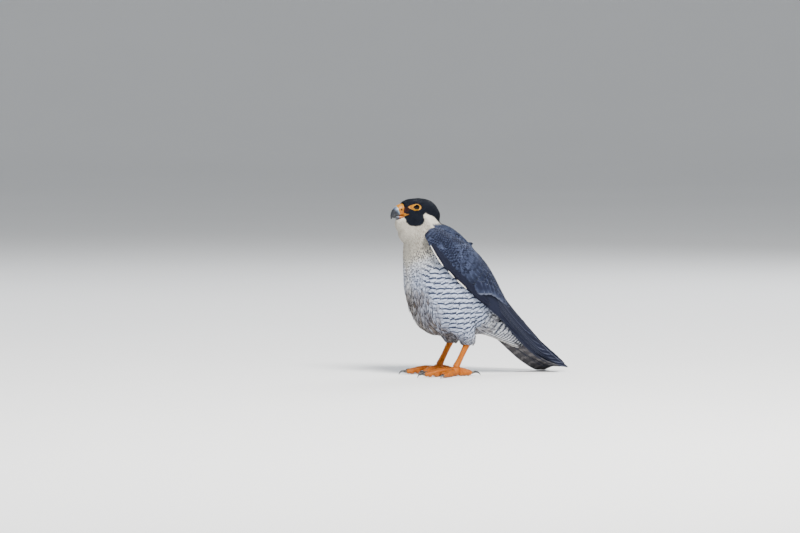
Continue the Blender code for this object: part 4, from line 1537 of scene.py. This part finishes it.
wing_colour = wing_plumage.layered(
    WING_SLATE,
    ((patchy * 0.6 + seed * 0.3) * (1 - dark), WING_LIGHT),
    (bar * bars * 0.95, WING_BAR),
    (middle * centre * 0.88, WING_BAR),
    (dark, PRIMARY_DARK),
    (edge * fringe * (0.50 + 0.40 * seed), rim_colour),
    ((beneath * -1).between(0.4, 0.6), under_colour),
    (band * 0.85, PRIMARY_DARK),
    (along.between(0.958, 0.975) * tail_tip, WING_WHITE),
    ((level * -1).between(0.4, 0.6), WING_WHITE),
)
shade = 0.86 + seed * 0.24 + (grain - 0.5) * 0.14 + fine * 0.04
wing_plumage.surface(
    Base_Color=wing_plumage.scaled(wing_colour, shade),
    Roughness=0.62 + grain * 0.12 - dark * 0.06,
)
wing_plumage.raised(fine * 0.7 + grain * 0.6, 0.09)
print("wing finish nodes:", len(wing_plumage.tree.nodes))

# %% [markdown]
# Twelve tail feathers lie in two fans of six, the middle pair on top and the outer
# ones below. They follow the tail's own sections: an arch across, and a roll that
# lays one corner of the tip on the floor. Their numbers add a dark band and a white
# tip, and from below they are grey-brown with pale bars.
# %% Tail feathers
TAIL = [
    # y, z, half width, thickness
    (50, 70, 15, 7),
    (78, 50, 19, 6),
    (108, 28.5, 22.5, 4.6),
    (136, 12.5, 25.5, 3.4),
    (152, 7.6, 25.5, 2.4),
    (157, 6.6, 22, 1.6),
]
TAIL_ROLL = math.radians(17)
TAIL_ARCH = 2.0
TAIL_FEATHERS = 6
TAIL_LIFT = ((0, 0.5, 1), (1.6, 1.2, 0.8))


def tail_place(t, across, x):
    """A place on the middle sheet of the tail and the way up there. Across runs from -1 to 1."""
    row = along_rows(TAIL, t)
    ahead, behind = along_rows(TAIL, t + 0.03), along_rows(TAIL, t - 0.03)
    along = unit(columns(0, ahead[..., 0] - behind[..., 0], ahead[..., 1] - behind[..., 1]))
    turn = -TAIL_ROLL * np.minimum(1, 2.2 * t) * (1 - 0.5 * ease(0.6, 1.0, t))
    flat_side = np.array((1.0, 0, 0)) * np.ones_like(along)
    flat_up = np.cross(flat_side, along)
    c, n = np.cos(turn)[..., None], np.sin(turn)[..., None]
    side_way, up = flat_side * c - flat_up * n, flat_up * c + flat_side * n
    reach = across * row[..., 2] + x
    centre = columns(0, row[..., 0], row[..., 1])
    bent = TAIL_ARCH * (reach / row[..., 2]) ** 2
    return centre + side_way * reach[..., None] - up * bent[..., None], up


def tail_vanes(rng):
    for layer in reversed(range(TAIL_FEATHERS)):
        share = (layer + 0.45) / TAIL_FEATHERS
        for way in (1, -1):
            yield {
                "root": (0.02, way * 0.16 * share), "tip": (0.995 - 0.045 * share**2, way * 0.70 * share),
                "half": 9.2, "shaft": -0.32 * way * share, "taper": 0.86, "power": 2.4,
                "camber": 0.25, "thick": 0.3,
                "height": lambda t, high=0.75 - 0.24 * layer: high * np.interp(t, *TAIL_LIFT),
                "mark": (0.35, 0.10, 1), "print": (0.75, 0, 0),
                "beat": (0.1 + 0.1 * rng.random(), 11, rng.random()),
            }


vanes = list(tail_vanes(default_rng(41)))
laid_vanes("tail_feathers", vanes, tail_place, 1, wing_plumage, "tail_feathers", ["tail"])

# %% [markdown]
# The eye is a ball whose clear front bulges a little. Its colour runs from the black
# pupil over a very dark brown iris to a darker rim, with fine spokes. A wet coat
# over the whole ball gives the sharp lights that make an eye look alive.
# %% Eyes
CORNEA_BULGE = 0.2
EYE_ROWS = 54
EYE_SPOKES = 72
# How far the ball is pulled in where the lids cover it, so that it never cuts through them.
UNDER_LIDS = 1.8

wet_eye = Finish(
    "wet eye", Roughness=0.3, Specular_IOR_Level=0.0,
    Coat_Weight=0.55, Coat_Roughness=0.02, Coat_IOR=1.33,
)
from_axis, spoke, _ = wet_eye.layer("iris")
spokes = (wet_eye.noise(wet_eye.joined(spoke * 26, from_axis * 0.5, 0.0), 1.0, 2.0) - 0.5) * 0.9 + 0.6
IRIS_DARK, IRIS_LIGHT = (0.007, 0.0035, 0.002), (0.028, 0.011, 0.006)
IRIS_RIM, PUPIL = (0.006, 0.004, 0.004), (0.0015, 0.0015, 0.002)
iris = wet_eye.layered(IRIS_DARK, (spokes, IRIS_LIGHT), (from_axis.between(4.1, 4.9), IRIS_RIM))
iris = wet_eye.mix(from_axis.between(3.15, 3.35), PUPIL, iris)
wet_eye.surface(Base_Color=iris)

for name, side in SIDES.items():
    angle = np.linspace(0.03, math.pi - 0.03, EYE_ROWS)
    turn = all_round(EYE_SPOKES)
    ball = EYE_RADIUS + CORNEA_BULGE * ease(0.95, 0.3, angle)
    forward, reach = (ball * np.cos(angle))[:, None], (ball * np.sin(angle))[:, None]
    rings = columns(side * (EYE_APART / 2 + forward), reach * np.cos(turn), reach * np.sin(turn))
    rings[..., 0] -= side * UNDER_LIDS * ease(3.6, 4.9, np.abs(rings[..., 2]))
    eye_mesh = lofted(f"eyeball_{name}", from_head(rings))
    seen = to_head(to_drawing(corners(eye_mesh)))
    out = np.hypot(seen[:, 1], seen[:, 2]) + np.where(side * seen[:, 0] < EYE_APART / 2, 9, 0)
    store(eye_mesh, "iris", columns(out, np.arctan2(seen[:, 2], seen[:, 1]), 0))
    finished(f"eyeball_{name}", eye_mesh, wet_eye, "eye", [f"eye_{name}"])

# %% [markdown]
# Round the eye lies a ring of bare yellow skin, drawn out to a point in front. Its
# inner margin is the lids' edge, which rests on the eyeball. The piece is one closed
# loop of sections: up over the margin, across low folds, down under the feathers and
# back beneath. Rays cast at the skin tell each section where to end.
# %% Lids and eye rings
# Reach back, forward, up and down of the opening and of the ring's outer rim.
OPEN_SIZES = (4.9, 4.7, 3.4, 3.1)
RIM_SIZES = (7.7, 10.3, 4.5, 4.9)
OPEN_POINT = 0.35
RIM_POINT = 0.42
LID_AROUND = 120
LID_MARGIN = 0.55
LID_FOLD = 0.24
skin_seen = shell_of(to_head(skin_drawn), skin_mesh)


def almond(sizes, c, s, point):
    """An outline round the eye from its reach back, forward, up and down, pinched in front."""
    back, front, up, down = sizes
    pinch = 1 - point * np.maximum(-c, 0) ** 2
    return np.where(c > 0, back, front) * c, np.where(s > 0, up, down) * s * pinch


def skin_out_at(y, z, side):
    """How far out the skin lies beside the eye, in the head's millimetres."""
    found = []
    for a, b in zip(np.ravel(y).tolist(), np.ravel(z).tolist()):
        hit = skin_seen.ray_cast(Vector((side * 40, a, b)), Vector((-side, 0, 0)))[0]
        found.append(side * hit.x if hit else EYE_APART / 2)
    return np.reshape(found, np.shape(y))


def on_ball(y, z, radius):
    return EYE_APART / 2 + np.sqrt(np.maximum(radius**2 - y**2 - z**2, 0))


lid_skin = Finish("bare eye skin", Roughness=0.42, Specular_IOR_Level=0.25)
lid_across, lid_front, _ = lid_skin.layer("lid")
lid_grain = lid_skin.mottle(2600)
lid_blotch = lid_skin.mottle(420)
lid_colour = lid_skin.layered(
    (0.34, 0.150, 0.0),
    (lid_blotch.between(0.3, 0.75), (0.40, 0.190, 0.0)),
    (lid_front * 0.75, (0.33, 0.110, 0.0)),
    (lid_grain.between(0.62, 0.8) * 0.35, (0.30, 0.11, 0.004)),
    (lid_across.between(0.10, 0.03), (0.035, 0.020, 0.012)),
    (lid_across.between(0.94, 1.02), HOOD_DARK),
)
lid_skin.surface(Base_Color=lid_colour)
lid_skin.raised(lid_grain, 0.10, 0.8)

for name, side in SIDES.items():
    turn = all_round(LID_AROUND)
    c, s = np.cos(turn), np.sin(turn)
    open_y, open_z = almond(OPEN_SIZES, c, s, OPEN_POINT)
    rim_y, rim_z = almond(RIM_SIZES, c, s, RIM_POINT)
    rings, tags = [], []
    for w in np.linspace(0, 1, 22):
        y, z = open_y + (rim_y - open_y) * w, open_z + (rim_z - open_z) * w
        rest = skin_out_at(y, z, side) + 0.30 + 0.35 * ease(0.4, 0.9, -c)
        high = on_ball(y, z, EYE_RADIUS + 0.35 + LID_MARGIN * ease(0, 0.10, w))
        x = high + (rest - high) * ease(0.15, 0.95, w)
        if w > 0.08:
            x = np.maximum(x, np.maximum(on_ball(y, z, EYE_RADIUS + 0.55), rest - 0.02))
        x = x + LID_FOLD * math.sin(5.2 * math.pi * w) * math.sin(math.pi * w) * (0.6 + 0.4 * np.abs(s))
        rings.append(columns(side * x, y, z))
        tags.append(w)
    for grow, sink, w in ((1.10, 0.5, 1.1), (1.12, 1.6, 1.2)):
        y, z = rim_y * grow, rim_z * grow
        rings.append(columns(side * (skin_out_at(y, z, side) - sink), y, z))
        tags.append(w)
    for w in (0.75, 0.35, 0.06):
        y, z = open_y + (rim_y - open_y) * w, open_z + (rim_z - open_z) * w
        low = np.maximum(on_ball(y, z, EYE_RADIUS + 0.22), skin_out_at(y, z, side) - 0.9)
        rings.append(columns(side * low, y, z))
        tags.append(0.5 + w)
    lid_mesh = lofted(f"lids_{name}", from_head(np.array(rings)), capped=False)
    ahead = np.tile(ease(0.3, 0.9, -c), len(rings))
    store(lid_mesh, "lid", columns(np.repeat(tags, LID_AROUND), ahead, 0))
    finished(f"lids_{name}", lid_mesh, lid_skin, "yellow_skin")

# %% [markdown]
# The bill is horn over bone: a hooked upper half with one tooth on each cutting edge,
# and a shorter lower half that fits inside it. The swollen yellow cere covers its
# base. All are lofted through the solids' own stations with many more rings. Cere and
# upper half are the two sides of one form, parted by a slanting plane.
# %% Stations of the bill
UPPER_BILL = [
    # culmen y and z, cutting edge y and z, half width
    (-12, 5.0, -11, -11.2, 8.2),
    (-17, 4.0, -16, -11.4, 7.4),
    (-21.5, 2.0, -20.5, -11.6, 6.5),
    (-26.4, -1.2, -24.5, -12.0, 5.3),
    (-30.2, -5.6, -27.2, -12.8, 4.1),
    (-32.0, -10.8, -29.2, -14.4, 2.7),
    (-32.0, -14.8, -30.2, -15.8, 1.2),
    (-31.5, -17.0, -31.1, -17.0, 0.45),
]
LOWER_BILL = [
    # upper edge y and z, lower edge y and z, half width
    (-10, -11.8, -10, -17.2, 7.5),
    (-17, -12.0, -17, -17.0, 6.6),
    (-22.5, -12.4, -22, -16.6, 5.2),
    (-26.6, -13.3, -26.0, -15.8, 3.2),
    (-28.2, -14.6, -28.0, -15.2, 1.2),
]
BILL_ROWS = 150
BILL_AROUND = 120
CERE_EDGE = -21.5
CERE_SLANT = 0.25
CERE_MIDDLE = -4.0
CERE_FLARE = 0.27


def bill_rings(stations, closed_edge):
    """Rings across the bill, flat along the edge that meets the other half, and how far round each is."""
    rows = along_rows(stations, np.linspace(0, 1, BILL_ROWS))
    turn = TURN * (np.arange(BILL_AROUND) + 0.5) / BILL_AROUND
    c, s = np.cos(turn), np.sin(turn)
    power = np.where(s * closed_edge > 0, 5.0, 2.1)
    x = np.sign(c) * np.abs(c) ** (2 / power)
    z = np.sign(s) * np.abs(s) ** (2 / power)
    narrow = 1 - 0.2 * (1 - z * closed_edge) / 2
    middle = (rows[:, 0:2] + rows[:, 2:4]) / 2
    up = (rows[:, 0:2] - rows[:, 2:4]) / 2
    profile = middle[:, None] + up[:, None] * z[None, :, None]
    return columns((x * narrow)[None, :] * rows[:, 4:5], profile[..., 0], profile[..., 1]), z


def past_cere(p):
    """Millimetres in front of the slanting edge of the cere."""
    return (CERE_EDGE - p[..., 1] + CERE_SLANT * (CERE_MIDDLE - p[..., 2])) / math.hypot(1, CERE_SLANT)


def part_of_bill(name, rings, keep_front):
    """The part of the lofted upper bill before or behind the cere's edge, closed by a face."""
    mesh = lofted(name, from_head(rings))
    cut = bmesh.new()
    cut.from_mesh(mesh)
    place = to_world(from_head(np.array((0, CERE_EDGE, CERE_MIDDLE))))
    facing = from_head(np.array((0, -1, -CERE_SLANT))) - from_head(np.zeros(3))
    made = bmesh.ops.bisect_plane(
        cut, geom=cut.verts[:] + cut.edges[:] + cut.faces[:], plane_co=place, plane_no=facing,
        clear_inner=keep_front, clear_outer=not keep_front,
    )
    edges = [e for e in made["geom_cut"] if isinstance(e, bmesh.types.BMEdge)]
    bmesh.ops.holes_fill(cut, edges=edges)
    bmesh.ops.triangulate(cut, faces=[f for f in cut.faces if len(f.verts) > 4])
    cut.to_mesh(mesh)
    cut.free()
    return turned_outwards(mesh)


upper, round_way = bill_rings(UPPER_BILL, -1)
lower, round_low = bill_rings(LOWER_BILL, 1)
print("rings along the bill:", len(upper), "and", len(lower))

# %% [markdown]
# Small forms are pushed into the rings before they become meshes. The horn gets its
# tooth with a notch behind it and a low ridge along the top. The cere gets its
# swelling, and the nostrils: round holes with a small knob in the middle and a lip.
# At the back the cere flares, so that it meets the face without a gap.
# %% Tooth, ridge, cere and nostrils
NOSTRIL = (-18.0, -3.4)
NOSTRIL_SIZE = 1.25
TOOTH = (-27.2, 1.15, 0.9)
NOTCH = (-25.3, 0.75, 1.0)


def bump_at(y, place, high, wide):
    """A rounded rise at one place along the bill."""
    return high * np.exp(-(((y - place) / wide) ** 2))


def nostril_from(p):
    return np.hypot(p[..., 1] - NOSTRIL[0], p[..., 2] - NOSTRIL[1])


out_from_middle = np.abs(upper[..., 0])
side_share = ease(0.15, 0.7, out_from_middle / np.maximum(out_from_middle.max(1, keepdims=True), 0.1))
low_edge = ease(-0.70, -0.97, round_way)[None, :] * side_share
horn_rings = upper.copy()
horn_rings[..., 2] -= (bump_at(upper[..., 1], *TOOTH) - bump_at(upper[..., 1], *NOTCH)) * low_edge
ridge = ease(0.86, 1.0, round_way)[None, :] * ease(0.5, 0.0, out_from_middle / 4)
horn_rings[..., 2] += 0.25 * ridge * ease(2, 6, past_cere(upper))
lower[..., 2] += ease(0.6, 0.95, round_low)[None, :] * bump_at(lower[..., 1], -24, 0.35, 1.4)

cere_rings = upper.copy()
centre = cere_rings.mean(1, keepdims=True)
outward = unit((cere_rings - centre) * (1, 0, 1))
behind = -past_cere(upper)
swell = 0.45 * ease(0.0, 0.9, behind) * ease(9, 5, behind)
swell = swell * ease(-1.0, -0.75, round_way)[None, :]
far = nostril_from(upper)
lip = 0.35 * np.exp(-(((far - NOSTRIL_SIZE - 0.35) / 0.4) ** 2))
hole = -1.9 * ease(NOSTRIL_SIZE, NOSTRIL_SIZE - 0.45, far) + 1.5 * ease(0.62, 0.28, far)
on_side = (out_from_middle > 2.5).astype(float)
cere_rings += outward * (swell + (lip + hole) * on_side)[..., None]
cere_rings[..., 0] *= 1 + CERE_FLARE * ease(-14.8, -12.2, cere_rings[..., 1])
print("the tooth is", TOOTH[1], "mm deep, the nostril", 2 * NOSTRIL_SIZE, "mm wide")

# %% [markdown]
# The cere is bare, waxy skin with fine pores, and the insides of its nostrils are
# painted dark as shade. The horn is pale at its root and nearly black at the hook,
# with faint growth lines, and it is the smoothest part. Each finish reads how far a
# corner is past the cere and how high it lies.
# %% Bill finishes
wax = Finish("waxy yellow skin", Roughness=0.38, Specular_IOR_Level=0.25)
past, height, hollow_shade = wax.layer("bill")
pores = wax.mottle(2300)
cloud = wax.mottle(330)
wax_colour = wax.layered(
    (0.27, 0.070, 0.0),
    (height.between(-9, 3), (0.33, 0.125, 0.0)),
    (cloud.between(0.4, 0.8) * 0.5, (0.36, 0.155, 0.0)),
    (pores.between(0.60, 0.80) * 0.3, (0.36, 0.11, 0.004)),
    # Painted shade inside the nostrils and in the mouth's groove.
    (hollow_shade * 0.95, (0.030, 0.014, 0.008)),
)
wax.surface(Base_Color=wax_colour, Roughness=0.34 + pores * 0.16)
wax.raised(pores * 0.6 + cloud * 0.8, 0.10, 0.8)

horn = Finish("bill horn", Roughness=0.28, Specular_IOR_Level=0.35, Coat_Roughness=0.15)
past, height, _ = horn.layer("bill")
growth = horn.noise(horn.joined(past * 0.8, height * 0.06, 0.0), 1.0, 3.0)
streak = horn.mottle(500)
tipward = past - height * 0.60 - 6.2 + (streak - 0.5) * 3.0
horn_colour = horn.layered(
    (0.21, 0.28, 0.27),
    (past.between(-0.5, 2.6), (0.080, 0.115, 0.195)),
    (tipward.between(-3.0, 2.8), (0.006, 0.007, 0.012)),
    (growth.between(0.45, 0.8) * 0.25, (0.06, 0.075, 0.10)),
)
horn.surface(Base_Color=horn_colour, Roughness=0.34 + growth * 0.14, Coat_Weight=0.12 + growth * 0.1)
horn.raised(growth + streak * 0.3, 0.07, 0.8)

jaw = Finish("lower bill horn", Roughness=0.32, Specular_IOR_Level=0.5)
past, height, _ = jaw.layer("bill")
jaw_grain = jaw.mottle(900)
jaw_colour = jaw.layered(
    (0.35, 0.090, 0.0),
    ((past + jaw_grain * 1.6).between(0.8, 3.6), (0.06, 0.075, 0.11)),
    ((past + jaw_grain).between(4.0, 7.0), (0.018, 0.019, 0.024)),
)
jaw.surface(Base_Color=jaw_colour, Roughness=0.30 + jaw_grain * 0.15)
jaw.raised(jaw_grain, 0.06, 0.8)


def tagged(mesh):
    """Keeps how far each corner is past the cere, how high it is, and how deep in the nostril, where shade is
    painted.
    """
    p = to_head(to_drawing(corners(mesh)))
    hollow_shade = ease(NOSTRIL_SIZE + 0.25, NOSTRIL_SIZE - 0.3, nostril_from(p)) * (np.abs(p[:, 0]) > 2)
    store(mesh, "bill", columns(past_cere(p), p[:, 2], hollow_shade))
    return mesh


cere_mesh = tagged(part_of_bill("cere", cere_rings, False))
horn_mesh = tagged(part_of_bill("upper_bill", horn_rings, True))
finished("cere", cere_mesh, wax, "yellow_skin", ["cere"])
finished("upper_bill", horn_mesh, horn, "bill_horn", ["beak_upper"])
finished("lower_bill", tagged(lofted("lower_bill", from_head(lower))), jaw, "bill_horn", ["beak_lower"])

# %% [markdown]
# From the bill the corner of the mouth runs back over the cheek, yellow like the cere
# and parted by the closed mouth's line. It is a tapering form of rings that starts
# inside the cere, with a groove along its outer side that is painted dark as shade.
# %% Corners of the mouth
GAPE_SEEN = -12.6
GAPE_RINGS = 36
GAPE_AROUND = 32

for name, side in SIDES.items():
    s = np.linspace(0, 1, GAPE_RINGS)
    turn = all_round(GAPE_AROUND)
    y, z = (np.interp(s, (0, 1), ends) for ends in zip(*GAPE))
    seen_y = np.maximum(y, GAPE_SEEN)
    x = (skin_out_at(seen_y, z, side) + 0.2 - 0.95 * (seen_y - y))[:, None]
    thick, high = (0.95 - 0.45 * s**2)[:, None], (2.1 - 1.65 * s**0.8)[:, None]
    groove = ease(0.26, 0.05, np.abs(np.sin(turn))) * (np.cos(turn) > 0)
    out = x + thick * np.cos(turn) * (1 - 0.75 * groove)
    rings = columns(side * out, y[:, None], z[:, None] + high * np.sin(turn))
    gape_mesh = lofted(f"gape_{name}", from_head(rings))
    # The groove is painted dark as shade.
    groove_shade = np.concatenate([np.tile(groove, GAPE_RINGS), [0, 0]])
    store(gape_mesh, "bill", columns(0, 0, groove_shade))
    finished(f"gape_{name}", gape_mesh, wax, "yellow_skin")

# %% [markdown]
# The feet are bare skin over bone and tendon. Tubes and balls give the shank, the
# palm, the toes and the round pads below them, where the solids have theirs.
# %% Forms of a leg
ANKLE = np.array((27.5, 8.0, 49.0))
PALM = np.array((27.0, -14.0, 8.5))
SHANK_FOOT = PALM + (0.2, 2.5, 4)
TOES = {
    # heading from straight ahead, length, radius, claw, rise
    "hallux": (172, 20, 4.2, 14, 3.6),
    "inner": (-29, 29, 4.1, 13.5, 4.0),
    "middle": (4, 42, 3.9, 12.5, 4.6),
    "outer": (42, 34, 3.6, 11, 3.8),
}
SHANK_RADII = (5.0, 4.5, 4.0, 3.8, 3.8, 4.2, 5.0)
TUBE_AROUND = 28
BALL_ROWS = 16


def tube_rings(line, radii, reference=(0, 0, 1)):
    """Rings round a line. The reference says which way their first spokes do not point."""
    way = unit(np.gradient(line, axis=0))
    side_way = unit(np.cross(way, np.array(reference, float)))
    up = np.cross(side_way, way)
    turn = all_round(TUBE_AROUND)
    spokes = side_way[:, None] * np.cos(turn)[:, None] + up[:, None] * np.sin(turn)[:, None]
    return line[:, None] + spokes * radii[:, None, None]


def ball_rings(centre, radii):
    angle = np.linspace(0.06, math.pi - 0.06, BALL_ROWS)[:, None]
    turn = all_round(TUBE_AROUND)
    return centre + columns(np.sin(angle) * np.cos(turn), np.sin(angle) * np.sin(turn), np.cos(angle)) * radii


def toe_line(toe, s):
    """Places along a toe from the palm to the claw, and the way it heads."""
    heading, length, radius, _, rise = toe
    way = np.array((math.sin(math.radians(heading)), -math.cos(math.radians(heading)), 0))
    across = np.array((-way[1], way[0], 0))
    height = radius * 1.08 + rise * np.sin(math.pi * s**0.7) * (1 - 0.3 * s)
    line = np.array((PALM[0], PALM[1], 0)) + way * (3 + length * s)[:, None]
    return line + across * (1.2 * np.sin(math.pi * s))[:, None] + np.outer(height, (0, 0, 1)), way


def leg_forms():
    """Rings of every form in the left leg."""
    down = np.linspace(0, 1, 25)[:, None]
    shank_radii = along_rows(np.array(SHANK_RADII)[:, None], down[:, 0])[:, 0]
    shank = ANKLE + (SHANK_FOOT - ANKLE) * down
    yield tube_rings(shank, shank_radii, (1, 0, 0))
    tendon = shank + (0, 2.6, 0.9)
    yield tube_rings(tendon, 0.60 * shank_radii, (1, 0, 0))
    yield ball_rings(ANKLE, (4.2, 4.9, 4.9))
    yield ball_rings(PALM - (0, 0, 1.6), (8.0, 8.6, 6.6))
    for toe in TOES.values():
        s = np.linspace(0, 1, 33)
        line, _ = toe_line(toe, s)
        radius = toe[2] * (1.06 - 0.22 * s) * (1 + 0.045 * np.cos(TURN * (s * 4 - 0.5)))
        yield tube_rings(line, radius)
        for k in (12, 20, 28):
            swell = toe[2] * (1.08 - 0.22 * s[k]) * 1.2
            pad = np.array((line[k][0], line[k][1], toe[2] * 1.12))
            yield ball_rings(pad, (swell, swell, swell * 0.95))
        yield ball_rings(line[-1], (radius[-1] * 1.02,) * 3)


print("forms in one leg:", len(list(leg_forms())))

# %% [markdown]
# Remeshing makes one surface of a leg's forms. Its scales are cells: seeds are
# scattered over the skin, and each corner of the fine mesh sinks where it lies about
# as near to a second seed as to its own. The scales are larger on the shank.
# %% Scaly skin of each leg
LEG_CUBE = 0.46
SCALE_ON_TOE = 1.05
SCALE_ON_SHANK = 1.55
SCALE_DEPTH = 0.15

leg_finish = Finish("scaly yellow skin", Roughness=0.42, Specular_IOR_Level=0.25)
leg_skins = {}
for name, side in SIDES.items():
    forms = [lofted("leg_form", rings * (side, 1, 1)) for rings in leg_forms()]
    leg = fused_surface("leg", joined_mesh(forms), LEG_CUBE, 5)
    here = to_drawing(corners(leg))
    out_of_leg = normals(leg)
    on_shank = ease(14, 20, here[:, 2])
    room = SCALE_ON_TOE + (SCALE_ON_SHANK - SCALE_ON_TOE) * on_shank
    seeds, _, _ = scattered(here, out_of_leg, triangles(leg), room, 30000, default_rng(51))
    cells = tree_of(seeds)
    two = [cells.find_n(p, 2) for p in here.tolist()]
    own = np.array([t[0][1] for t in two])
    margin = np.array([t[1][2] - t[0][2] for t in two])
    crease = ease(0.42, 0.05, margin)
    here = here + out_of_leg * (SCALE_DEPTH * (0.35 - crease))[:, None]
    here[:, 2] = np.maximum(here[:, 2], 0.0)
    move_corners(leg, to_world(here))
    tint = default_rng(52).random(len(seeds))[own]
    store(leg, "lay_normal", out_of_leg)
    store(leg, "mark", columns(crease, tint, 0))
    store(leg, "vane", (0, 0.4, 0))
    nodes = [f"shank_{name}", f"foot_{name}"]
    leg_skins[name] = finished(f"leg_{name}", leg, leg_finish, "yellow_skin", nodes)

# %% [markdown]
# Along the top of each toe, and down the front of the shank, the scales widen into
# plates that overlap like roof tiles. They are the vane shape again, short, wide and
# thick, set along a path and pressed onto the leg by the same tree of nodes.
# %% Plates on toes and shanks
PLATE_STEP = 2.15
SHANK_PLATES = 14


def plate_roots(name, side, rng):
    at, way, size = [], [], []
    for toe in TOES.values():
        count = round(toe[1] / PLATE_STEP)
        s = (np.arange(count) + 0.6) / count
        line, heading = toe_line(toe, s)
        at.append(line + np.outer(toe[2] * (1.05 - 0.2 * s), (0, 0, 1)))
        way.append(np.tile(heading, (count, 1)))
        size.append(columns(toe[2] * (1.62 - 0.30 * s), 3.1))
    shank = SHANK_FOOT - ANKLE
    for k in range(SHANK_PLATES):
        s = 0.16 + 0.80 * k / SHANK_PLATES
        for across in (-1, 1):
            shift = s + 0.4 / SHANK_PLATES * across
            at.append((ANKLE + shank * shift + (across * 1.55, -4.2, -1.4))[None])
            way.append(unit(shank)[None])
            size.append(np.array([[3.3, 3.9]]))
    at, way = np.concatenate(at) * (side, 1, 1), np.concatenate(way) * (side, 1, 1)
    mesh = leg_skins[name].data
    ground = shell_of(to_drawing(corners(mesh)), mesh)
    hits = [ground.find_nearest(p) for p in at.tolist()]
    at = np.array([hit[0] for hit in hits])
    up = np.array([(0, 0, 1.0) if a[2] < 14 else (0, -1.0, 0) for a in at])
    out = unit(np.array([hit[1] for hit in hits]) * 0.4 + up)
    way = unit(way - out * np.sum(way * out, axis=1, keepdims=True))
    count = len(at)
    width, length = np.concatenate(size).T
    row, place_in_row = np.divmod(np.arange(count), 12)
    zero = np.zeros(count)
    return {
        "at": at, "out": out, "way": way,
        "form": columns(width, length, 0.42),
        "rise": columns(0.02, zero, 0),
        "bake": columns(0.05 + 0.9 * place_in_row / 12, 0.05 + 0.07 * row, 0),
        "mark": columns(0, rng.random(count), 1),
        "print": columns(0, zero, 0),
        "beat": columns(0, zero, 0),
    }


for name, side in SIDES.items():
    roots = plate_roots(name, side, default_rng(61))
    grow_coat(
        f"leg_plates_{name}", roots, leg_skins[name], leg_finish, "yellow_skin", 0.05,
        across=9, along=6, root_width=0.85, tip=0.12, thickness=0.3,
    )

# %% [markdown]
# The skin of the legs is a strong orange yellow, a little different from scale to
# scale, with painted shade in the creases, and paler at the end of each plate. A
# trace of dust clings just above the floor.
# %% Leg finish
_, along, _ = leg_finish.layer("vane")
crease, tint, plate = leg_finish.layer("mark")
pores = leg_finish.mottle(2400)
cloud = leg_finish.mottle(120)
_, _, high = leg_finish.place.parts()
grime = (pores * 0.0015 - high + 0.0022).between(0.0, 0.0025)
leg_colour = leg_finish.layered(
    (0.31, 0.062, 0.0),
    (cloud.between(0.3, 0.7), (0.36, 0.090, 0.0)),
    (tint * 0.40, (0.42, 0.135, 0.0)),
    (along.between(0.80, 1.0) * plate * 0.7, (0.40, 0.15, 0.006)),
    # Painted shade in the creases between the scales.
    (crease * 0.75, (0.22, 0.055, 0.002)),
    (grime * 0.5, (0.30, 0.19, 0.09)),
)
leg_finish.surface(Base_Color=leg_colour, Roughness=0.36 + crease * 0.3 + pores * 0.12)
leg_finish.raised(pores, 0.06, 0.8)
print("leg finish nodes:", len(leg_finish.tree.nodes))

# %% [markdown]
# The claws are black horn, long and strongly curved, the first toe's and the inner
# toe's the longest. Each is a tapering tube on the solids' own curve, a little higher
# than wide, with a groove below and faint growth lines along it.
# %% Claws
CLAW_BASE = 1.9
CLAW_TIP = 0.35

claw_horn = Finish("claw horn", Roughness=0.24, Specular_IOR_Level=0.5)
reach, under, _ = claw_horn.layer("claw")
lines = claw_horn.noise(claw_horn.joined(reach * 2.5, under * 5, 0.0), 1.0, 3.0)
claw_colour = claw_horn.layered(
    (0.010, 0.010, 0.012),
    (lines, (0.030, 0.029, 0.031)),
    (reach.between(0.16, 0.0) * 0.7, (0.11, 0.085, 0.060)),
)
claw_horn.surface(Base_Color=claw_colour, Roughness=0.20 + lines * 0.16)
claw_horn.raised(lines, 0.05, 0.8)

for toe_name, toe in TOES.items():
    line, way = toe_line(toe, np.array((0.0, 1.0)))
    start = line[1] + way * (toe[2] * 0.86 + 0.5)
    drop = start[2] - CLAW_TIP - 0.15
    s = np.linspace(-0.06, 1, 44)
    forward = np.maximum(s, 0)
    rise = 2.4 * np.sin(math.pi * np.minimum(1, forward * 1.1)) * (1 - forward)
    ahead = toe[3] * 0.86 * np.sin(s * math.pi / 2)
    curve = start + way * ahead[:, None] + np.outer(rise - drop * forward**1.7, (0, 0, 1))
    radii = CLAW_BASE + (CLAW_TIP - CLAW_BASE) * forward**0.9
    rings = tube_rings(curve, radii)
    middle = rings.mean(1, keepdims=True)
    away = rings - middle
    below = np.maximum(-away[..., 2:] / radii[:, None, None], 0)
    rings = middle + away * (0.86, 0.86, 1.06) * (1 - 0.10 * below**6)
    for name, side in SIDES.items():
        claw_mesh = lofted(f"claw_{toe_name}_{name}", rings * (side, 1, 1))
        tags = columns(np.repeat(s, TUBE_AROUND), below.ravel(), 0)
        store(claw_mesh, "claw", np.vstack([tags, tags[:1], tags[-1:]]))
        finished(f"horn_{toe_name}_{name}", claw_mesh, claw_horn, "claw_horn", [f"claw_{toe_name}_{name}"])

# %% [markdown]
# Last, the size of the dressed model: the box round everything it shows. The
# dressed one may stand only a little proud of the other.
# %% The dressed model's box
low, high_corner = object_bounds()
